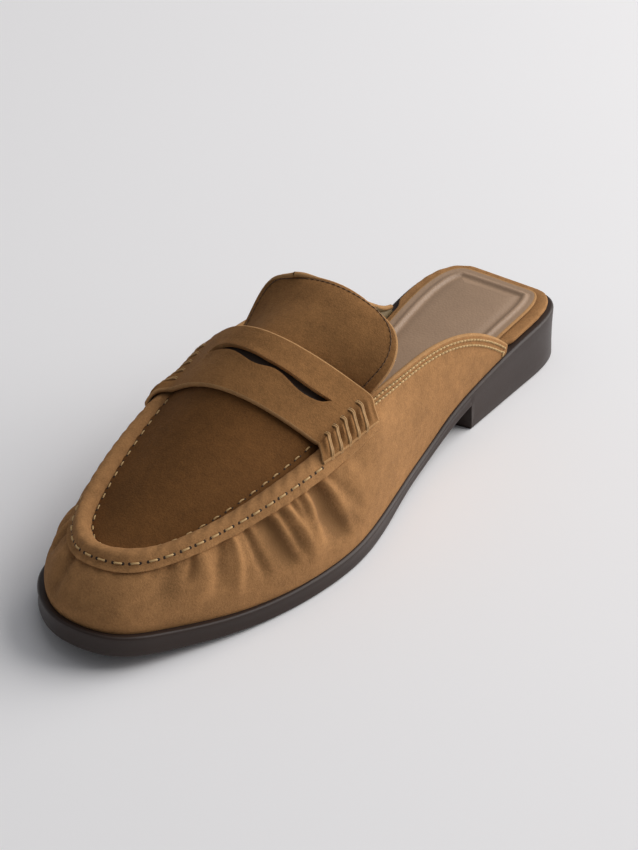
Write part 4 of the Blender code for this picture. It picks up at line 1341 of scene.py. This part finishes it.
def tongue_stitches():
    """Fine row of stitches along the sides and the top of the tongue."""
    grid = tongue_grid(49, 45, TONGUE_CORNER)
    normals = grid_normals(tongue_grid(49, 45))
    widths = np.linalg.norm(grid[:, 0] - grid[:, -1], axis=1)
    share = TONGUE_EDGE / widths
    place = share * (grid.shape[1] - 1)
    top_row = len(grid) - 1 - 3
    rows = np.arange(9, top_row + 1)

    def at(row, column):
        low = np.floor(column).astype(int)
        part = (column - low)[:, None]
        high = np.minimum(low + 1, grid.shape[1] - 1)
        spot = grid[row, low] * (1 - part) + grid[row, high] * part
        return spot, normals[row, low]

    left = at(rows, place[rows])
    columns = np.linspace(place[top_row], grid.shape[1] - 1 - place[top_row], 60)[1:-1]
    top = at(np.full(len(columns), top_row), columns)
    right = at(rows[::-1], grid.shape[1] - 1 - place[rows[::-1]])
    path = np.vstack([left[0], top[0], right[0]])
    up = np.vstack([left[1], top[1], right[1]])
    sheet = Sheet()
    run_stitches(sheet, path, up, 0.0022, 0.0016, 0.0002, 0.00026)
    return sheet


# Finishes


class Wire:
    """Output of a shader node that works in Python expressions on values."""

    def __init__(self, tree, socket):
        self.tree = tree
        self.socket = socket

    def maths(self, operation, first, second):
        node = self.tree.nodes.new("ShaderNodeMath")
        node.operation = operation
        for slot, value in zip(node.inputs, (first, second)):
            if isinstance(value, Wire):
                self.tree.links.new(value.socket, slot)
            else:
                slot.default_value = value
        return Wire(self.tree, node.outputs[0])

    def __add__(self, other):
        return self.maths("ADD", self, other)

    def __radd__(self, other):
        return self.maths("ADD", other, self)

    def __sub__(self, other):
        return self.maths("SUBTRACT", self, other)

    def __rsub__(self, other):
        return self.maths("SUBTRACT", other, self)

    def __mul__(self, other):
        return self.maths("MULTIPLY", self, other)

    def __rmul__(self, other):
        return self.maths("MULTIPLY", other, self)

    def low(self, other):
        return self.maths("MINIMUM", self, other)

    def high(self, other):
        return self.maths("MAXIMUM", self, other)


class Finish:
    """One procedural material and the nodes that make it."""

    def __init__(self, name, roughness, settings=()):
        self.material = bpy.data.materials.new(name)
        self.material.use_nodes = True
        self.tree = self.material.node_tree
        self.shader = self.tree.nodes["Principled BSDF"]
        self.shader.inputs["Roughness"].default_value = roughness
        for socket, value in dict(settings).items():
            self.shader.inputs[socket].default_value = value

    def node(self, kind, settings=None, sockets=None, output=0):
        """Any node: its type, its settings, then the values or links of its sockets."""
        node = self.tree.nodes.new(kind)
        for setting, value in (settings or {}).items():
            setattr(node, setting, value)
        for socket, value in (sockets or {}).items():
            if isinstance(value, Wire):
                self.tree.links.new(value.socket, node.inputs[socket])
            else:
                node.inputs[socket].default_value = value
        return Wire(self.tree, node.outputs[output])

    def cloud(self, size, detail=3.0, roughness=0.55):
        """Noise whose features are about as large as size, from 0 to 1."""
        place = self.node("ShaderNodeTexCoord", output="Object")
        return self.node(
            "ShaderNodeTexNoise",
            sockets={
                "Vector": place,
                "Scale": 1 / size,
                "Detail": detail,
                "Roughness": roughness,
            },
        )

    def mix(self, share, first, second):
        settings = {"data_type": "RGBA", "clamp_factor": True}
        sockets = {"Factor": share, 6: first, 7: second}
        return self.node("ShaderNodeMix", settings, sockets, output=2)

    def feed(self, socket, wire):
        self.tree.links.new(wire.socket, self.shader.inputs[socket])

    def bump(self, height, distance, strength=1.0):
        sockets = {"Height": height, "Distance": distance, "Strength": strength}
        self.feed("Normal", self.node("ShaderNodeBump", sockets=sockets))


def tinted(colour, share):
    return tuple(min(1.0, share * value) for value in colour[:3]) + (1.0,)


def suede_finish(name, colour, light=1.35, dark=0.62):
    """Napped suede: brushed lighter and darker patches, ridges of the gathers lighter as rubbed nap and their
    valleys darker as painted shade, short fibres.
    """
    sheen = {"Sheen Weight": 0.07, "Sheen Roughness": 0.45, "Specular IOR Level": 0.15}
    finish = Finish(name, 0.93, sheen)
    finish.shader.inputs["Sheen Tint"].default_value = tinted(colour, 2.2)
    fold = finish.node("ShaderNodeAttribute", {"attribute_name": "fold"}, output="Fac")
    patches = finish.cloud(0.016, 4.0)
    strokes = finish.cloud(0.0036, 4.0)
    grains = finish.cloud(0.00075, 3.0, 0.7)
    brushed = 0.7 * (patches - 0.5) + 0.7 * (strokes - 0.5) + 1.1 * (grains - 0.5)
    # The fold value lightens the ridges of the gathers (rubbed nap) and darkens their valleys (painted shade).
    share = (0.5 + brushed + 0.30 * fold).high(0.0).low(1.0)
    finish.feed("Base Color", finish.mix(share, tinted(colour, dark), tinted(colour, light)))
    fibres = finish.cloud(0.00035, 2.0, 0.8)
    finish.bump(0.65 * grains + 0.35 * fibres, 0.00034, 0.9)
    return finish.material


def plain_finish(name, colour, roughness, spread, grain, depth, settings=()):
    """Finish with an even colour, slight clouding and a fine grain."""
    finish = Finish(name, roughness, settings)
    cloud = finish.cloud(spread, 4.0)
    fine = finish.cloud(grain, 3.0, 0.6)
    share = (0.5 + 1.1 * (cloud - 0.5) + 0.5 * (fine - 0.5)).high(0.0).low(1.0)
    finish.feed("Base Color", finish.mix(share, tinted(colour, 0.8), tinted(colour, 1.2)))
    finish.feed("Roughness", roughness + 0.16 * (cloud - 0.5) + 0.12 * (fine - 0.5))
    finish.bump(fine, depth, 0.6)
    return finish.material


def sock_finish(name, colour):
    """Smooth lining leather with a close pebble and pore grain."""
    finish = Finish(name, 0.5, {"Specular IOR Level": 0.4, "Coat Weight": 0.05})
    place = finish.node("ShaderNodeTexCoord", output="Object")
    cells = finish.node("ShaderNodeTexVoronoi", sockets={"Vector": place, "Scale": 1100.0})
    cloud = finish.cloud(0.02, 4.0)
    share = (0.5 + 1.0 * (cloud - 0.5) - 0.25 * (cells - 0.4)).high(0.0).low(1.0)
    finish.feed("Base Color", finish.mix(share, tinted(colour, 0.82), tinted(colour, 1.15)))
    finish.feed("Roughness", 0.5 + 0.2 * (cloud - 0.5))
    finish.bump(1 - cells, 0.00012, 0.5)
    return finish.material


def floor_finish(name, colour):
    """Matt studio paper, almost even."""
    finish = Finish(name, 0.85, {"Specular IOR Level": 0.1})
    cloud = finish.cloud(0.5, 2.0)
    finish.feed("Base Color", finish.mix(cloud, tinted(colour, 0.985), tinted(colour, 1.015)))
    return finish.material


# What a user would change


def colour_property(name, description, default):
    return FloatVectorProperty(
        name=name, description=description, default=default, subtype="COLOR", min=0, max=1, size=3
    )


class MuleColours(bpy.types.PropertyGroup):
    """Colours of the shoe and its floor."""

    suede: colour_property("Suede", "Side wall, ridge and quarters", (0.340, 0.172, 0.068))
    # Strap and tongue use a darker copy of the same suede: painted shade.
    shaded: colour_property("Shaded suede", "Strap and tongue", (0.255, 0.122, 0.043))
    # Plug suede is darker than the wall suede: painted shade over the whole plug.
    plug: colour_property("Plug suede", "Flat plug over the toes", (0.145, 0.062, 0.018))
    raw: colour_property("Raw edge", "Cut edges of the suede", (0.400, 0.218, 0.092))
    lining: colour_property("Lining", "Inside of the upper", (0.230, 0.160, 0.075))
    painted_shade: colour_property("Slot shade", "Shade painted under the slot", (0.022, 0.011, 0.006))
    thread: colour_property("Thread", "Light stitches", (0.540, 0.350, 0.150))
    # Near-black colour for the plug and the tongue under the strap: painted shade seen through the slot.
    dark_thread: colour_property("Dark thread", "Tongue stitches", (0.120, 0.058, 0.022))
    whip_thread: colour_property("Whip thread", "Strap ends", (0.420, 0.240, 0.095))
    # Near-black inside of the needle holes: painted shade in the holes.
    hole: colour_property("Needle hole", "Inside of the needle holes", (0.030, 0.014, 0.006))
    sole: colour_property("Sole", "Moulded sole and heel", (0.031, 0.019, 0.015))
    sock: colour_property("Sock", "Leather sock", (0.350, 0.228, 0.146))
    floor: colour_property("Floor", "Studio floor", (0.860, 0.850, 0.860))


class MuleSizes(bpy.types.PropertyGroup):
    """Sizes of the sewing and the gathers."""

    fold_depth: FloatProperty(
        name="Fold depth", description="Strength of the gathers", default=FOLD_DEPTH, min=0
    )
    seam_thread: FloatProperty(
        name="Seam thread", description="Radius", default=SEAM_THREAD, unit="LENGTH", precision=5
    )
    whips: IntProperty(name="Whips", description="Wraps at each strap end", default=WHIP_COUNT)


class MuleStudio(bpy.types.PropertyGroup):
    """Camera and light."""

    lens: FloatProperty(name="Lens", description="Focal length", default=122.0, unit="CAMERA")
    key: FloatProperty(name="Key light", description="Power", default=50.0, min=0, unit="POWER")
    top: FloatProperty(name="Top light", description="Power", default=7.0, min=0, unit="POWER")
    fill: FloatProperty(name="Fill light", description="Power", default=0.2, min=0, unit="POWER")
    world: FloatProperty(name="Room", description="Brightness of the room", default=0.20, min=0)


def colours():
    return bpy.context.scene.mule_colours


def finish_named(name):
    """The material of that name, made the first time it is asked for."""
    if name in bpy.data.materials:
        return bpy.data.materials[name]
    tone = colours()
    makers = {
        "brushed suede": lambda: suede_finish(name, tone.suede),
        "shaded suede": lambda: suede_finish(name, tone.shaded),
        "plug suede with painted shade": lambda: suede_finish(name, tone.plug),
        "raw edge": lambda: suede_finish(name, tone.raw, 1.25, 0.75),
        "lining": lambda: plain_finish(name, tone.lining, 0.7, 0.01, 0.0006, 0.0001),
        "painted slot shade": lambda: plain_finish(name, tone.painted_shade, 0.8, 0.01, 0.0006, 0.0001),
        "thread": lambda: plain_finish(name, tone.thread, 0.6, 0.002, 0.00025, 0.0001),
        "dark thread": lambda: plain_finish(name, tone.dark_thread, 0.7, 0.002, 0.00025, 0.0001),
        "whip thread": lambda: plain_finish(name, tone.whip_thread, 0.7, 0.002, 0.00025, 0.0001),
        "needle hole shade": lambda: plain_finish(name, tone.hole, 0.9, 0.002, 0.0005, 0.00005),
        "moulded sole": lambda: plain_finish(
            name, tone.sole, 0.42, 0.02, 0.0009, 0.00004, {"Specular IOR Level": 0.3}
        ),
        "grained sock": lambda: sock_finish(name, tone.sock),
        "studio floor": lambda: floor_finish(name, tone.floor),
    }
    return makers[name]()


def finishes(*names):
    return [finish_named(name) for name in names]


# Operators


class MuleOperator(bpy.types.Operator):
    """Builds one piece of the shoe."""

    bl_options = {"REGISTER", "UNDO"}

    def execute(self, context):
        self.build()
        return {"FINISHED"}


class MULE_OT_outsole(MuleOperator):
    """Build the moulded sole with its heel."""

    bl_idname = "mule.outsole"
    bl_label = "Outsole"

    def build(self):
        piece = make_piece("sole_moulding", outsole_sheet(), finishes("moulded sole"), sharp=40)
        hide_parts("outsole")


class MULE_OT_footbed(MuleOperator):
    """Build the suede-wrapped footbed."""

    bl_idname = "mule.footbed"
    bl_label = "Footbed"

    def build(self):
        piece = make_piece("footbed_rim", footbed_sheet(), finishes("brushed suede"))
        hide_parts("insole")


class MULE_OT_sock(MuleOperator):
    """Build the padded leather sock."""

    bl_idname = "mule.sock"
    bl_label = "Sock"

    def build(self):
        piece = make_piece("sock_leather", sock_sheet(), finishes("grained sock", "raw edge"))
        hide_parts("sock")


class MULE_OT_upper(MuleOperator):
    """Build the gathered upper with its ridge, lip, plug and lining."""

    bl_idname = "mule.upper"
    bl_label = "Upper"

    def build(self):
        sheet, folds = upper_parts()
        made = finishes("brushed suede", "lining", "raw edge", "painted slot shade", "plug suede with painted shade")
        piece = make_piece("upper_suede", sheet, made, fold=folds)
        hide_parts("upper")


class MULE_OT_tongue(MuleOperator):
    """Build the tongue."""

    bl_idname = "mule.tongue"
    bl_label = "Tongue"

    def build(self):
        made = finishes("shaded suede", "lining", "raw edge", "painted slot shade")
        piece = make_piece("tongue_suede", tongue_sheet(), made)
        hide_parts("tongue")


class MULE_OT_strap(MuleOperator):
    """Build the saddle strap with its slot."""

    bl_idname = "mule.strap"
    bl_label = "Saddle strap"

    def build(self):
        made = finishes("shaded suede", "lining", "raw edge")
        piece = make_piece("strap_suede", strap_sheet(), made, merge=1e-6)
        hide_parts("saddle_strap")


class MULE_OT_stitches(MuleOperator):
    """Sew the apron seam, the quarters, the tongue and the strap ends."""

    bl_idname = "mule.stitches"
    bl_label = "Stitches"

    def build(self):
        seams = (
            ("apron_stitches", apron_stitches, "thread"),
            ("quarter_stitches", quarter_stitches, "thread"),
            ("tongue_stitches", tongue_stitches, "dark thread"),
            ("whip_stitches", whip_sheet, "whip thread"),
        )
        for name, make, thread in seams:
            piece = make_piece(name, make(), finishes(thread, "needle hole shade"), closed=False)


class MULE_OT_studio(MuleOperator):
    """Set up the floor, the lights and the camera."""

    bl_idname = "mule.studio"
    bl_label = "Studio"

    def build(self):
        scene = bpy.context.scene
        studio = scene.mule_studio
        floor = bpy.data.meshes.new("floor")
        reach = 4.0
        corners = [(-reach, -reach, 0), (reach, -reach, 0), (reach, reach, 0), (-reach, reach, 0)]
        floor.from_pydata(corners, [], [(0, 1, 2, 3)])
        floor.materials.append(finish_named("studio floor"))
        ground = bpy.data.objects.new("floor", floor)
        scene.collection.objects.link(ground)
        lights = (
            ("key", studio.key, (0.98, 1.30, 0.95), 2.1, (1.0, 0.985, 0.965)),
            ("top", studio.top, (0.35, 0.45, 1.70), 1.8, (0.97, 0.98, 1.0)),
            ("fill", studio.fill, (-0.85, -0.75, 0.80), 1.0, (0.94, 0.97, 1.0)),
        )
        for name, power, place, width, colour in lights:
            lamp = bpy.data.lights.new(name, "AREA")
            lamp.energy = power
            lamp.size = width
            lamp.color = colour
            stand = bpy.data.objects.new(name, lamp)
            stand.location = place
            stand.rotation_euler = (-Vector(place)).to_track_quat("-Z", "Y").to_euler()
            scene.collection.objects.link(stand)
        world = scene.world or bpy.data.worlds.new("room")
        scene.world = world
        world.use_nodes = True
        room = world.node_tree.nodes["Background"]
        room.inputs["Color"].default_value = (0.94, 0.96, 1.0, 1.0)
        room.inputs["Strength"].default_value = studio.world
        scene.view_settings.view_transform = "Standard"
        lens = bpy.data.cameras.new("camera")
        lens.lens = studio.lens
        lens.sensor_width = 36
        lens.clip_start = 0.05
        viewer = bpy.data.objects.new("camera", lens)
        viewer.location = (0.5115, -0.7082, 0.5943)
        aim = Vector((0.004, 0.000, 0.026)) - viewer.location
        viewer.rotation_euler = aim.to_track_quat("-Z", "Y").to_euler()
        scene.collection.objects.link(viewer)
        scene.camera = viewer


STEPS = ("outsole", "footbed", "sock", "upper", "tongue", "strap", "stitches", "studio")


class MULE_PT_pieces(bpy.types.Panel):
    """Lists the pieces, the colours and the studio."""

    bl_idname = "MULE_PT_pieces"
    bl_label = "Loafer mule"
    bl_space_type = "VIEW_3D"
    bl_region_type = "UI"
    bl_category = "Mule"

    def draw(self, context):
        for step in STEPS:
            self.layout.operator("mule." + step)
        scene = context.scene
        for group in (scene.mule_colours, scene.mule_sizes, scene.mule_studio):
            for name in group.bl_rna.properties.keys():
                if name not in ("rna_type", "name"):
                    self.layout.prop(group, name)


CLASSES = (
    MuleColours,
    MuleSizes,
    MuleStudio,
    MULE_OT_outsole,
    MULE_OT_footbed,
    MULE_OT_sock,
    MULE_OT_upper,
    MULE_OT_tongue,
    MULE_OT_strap,
    MULE_OT_stitches,
    MULE_OT_studio,
    MULE_PT_pieces,
)


def register():
    for kind in CLASSES:
        bpy.utils.register_class(kind)
    bpy.types.Scene.mule_colours = PointerProperty(type=MuleColours)
    bpy.types.Scene.mule_sizes = PointerProperty(type=MuleSizes)
    bpy.types.Scene.mule_studio = PointerProperty(type=MuleStudio)


def unregister():
    del bpy.types.Scene.mule_studio
    del bpy.types.Scene.mule_sizes
    del bpy.types.Scene.mule_colours
    for kind in reversed(CLASSES):
        bpy.utils.unregister_class(kind)


def main():
    register()
    for step in STEPS:
        getattr(bpy.ops.mule, step)()


if __name__ == "__main__":
    main()
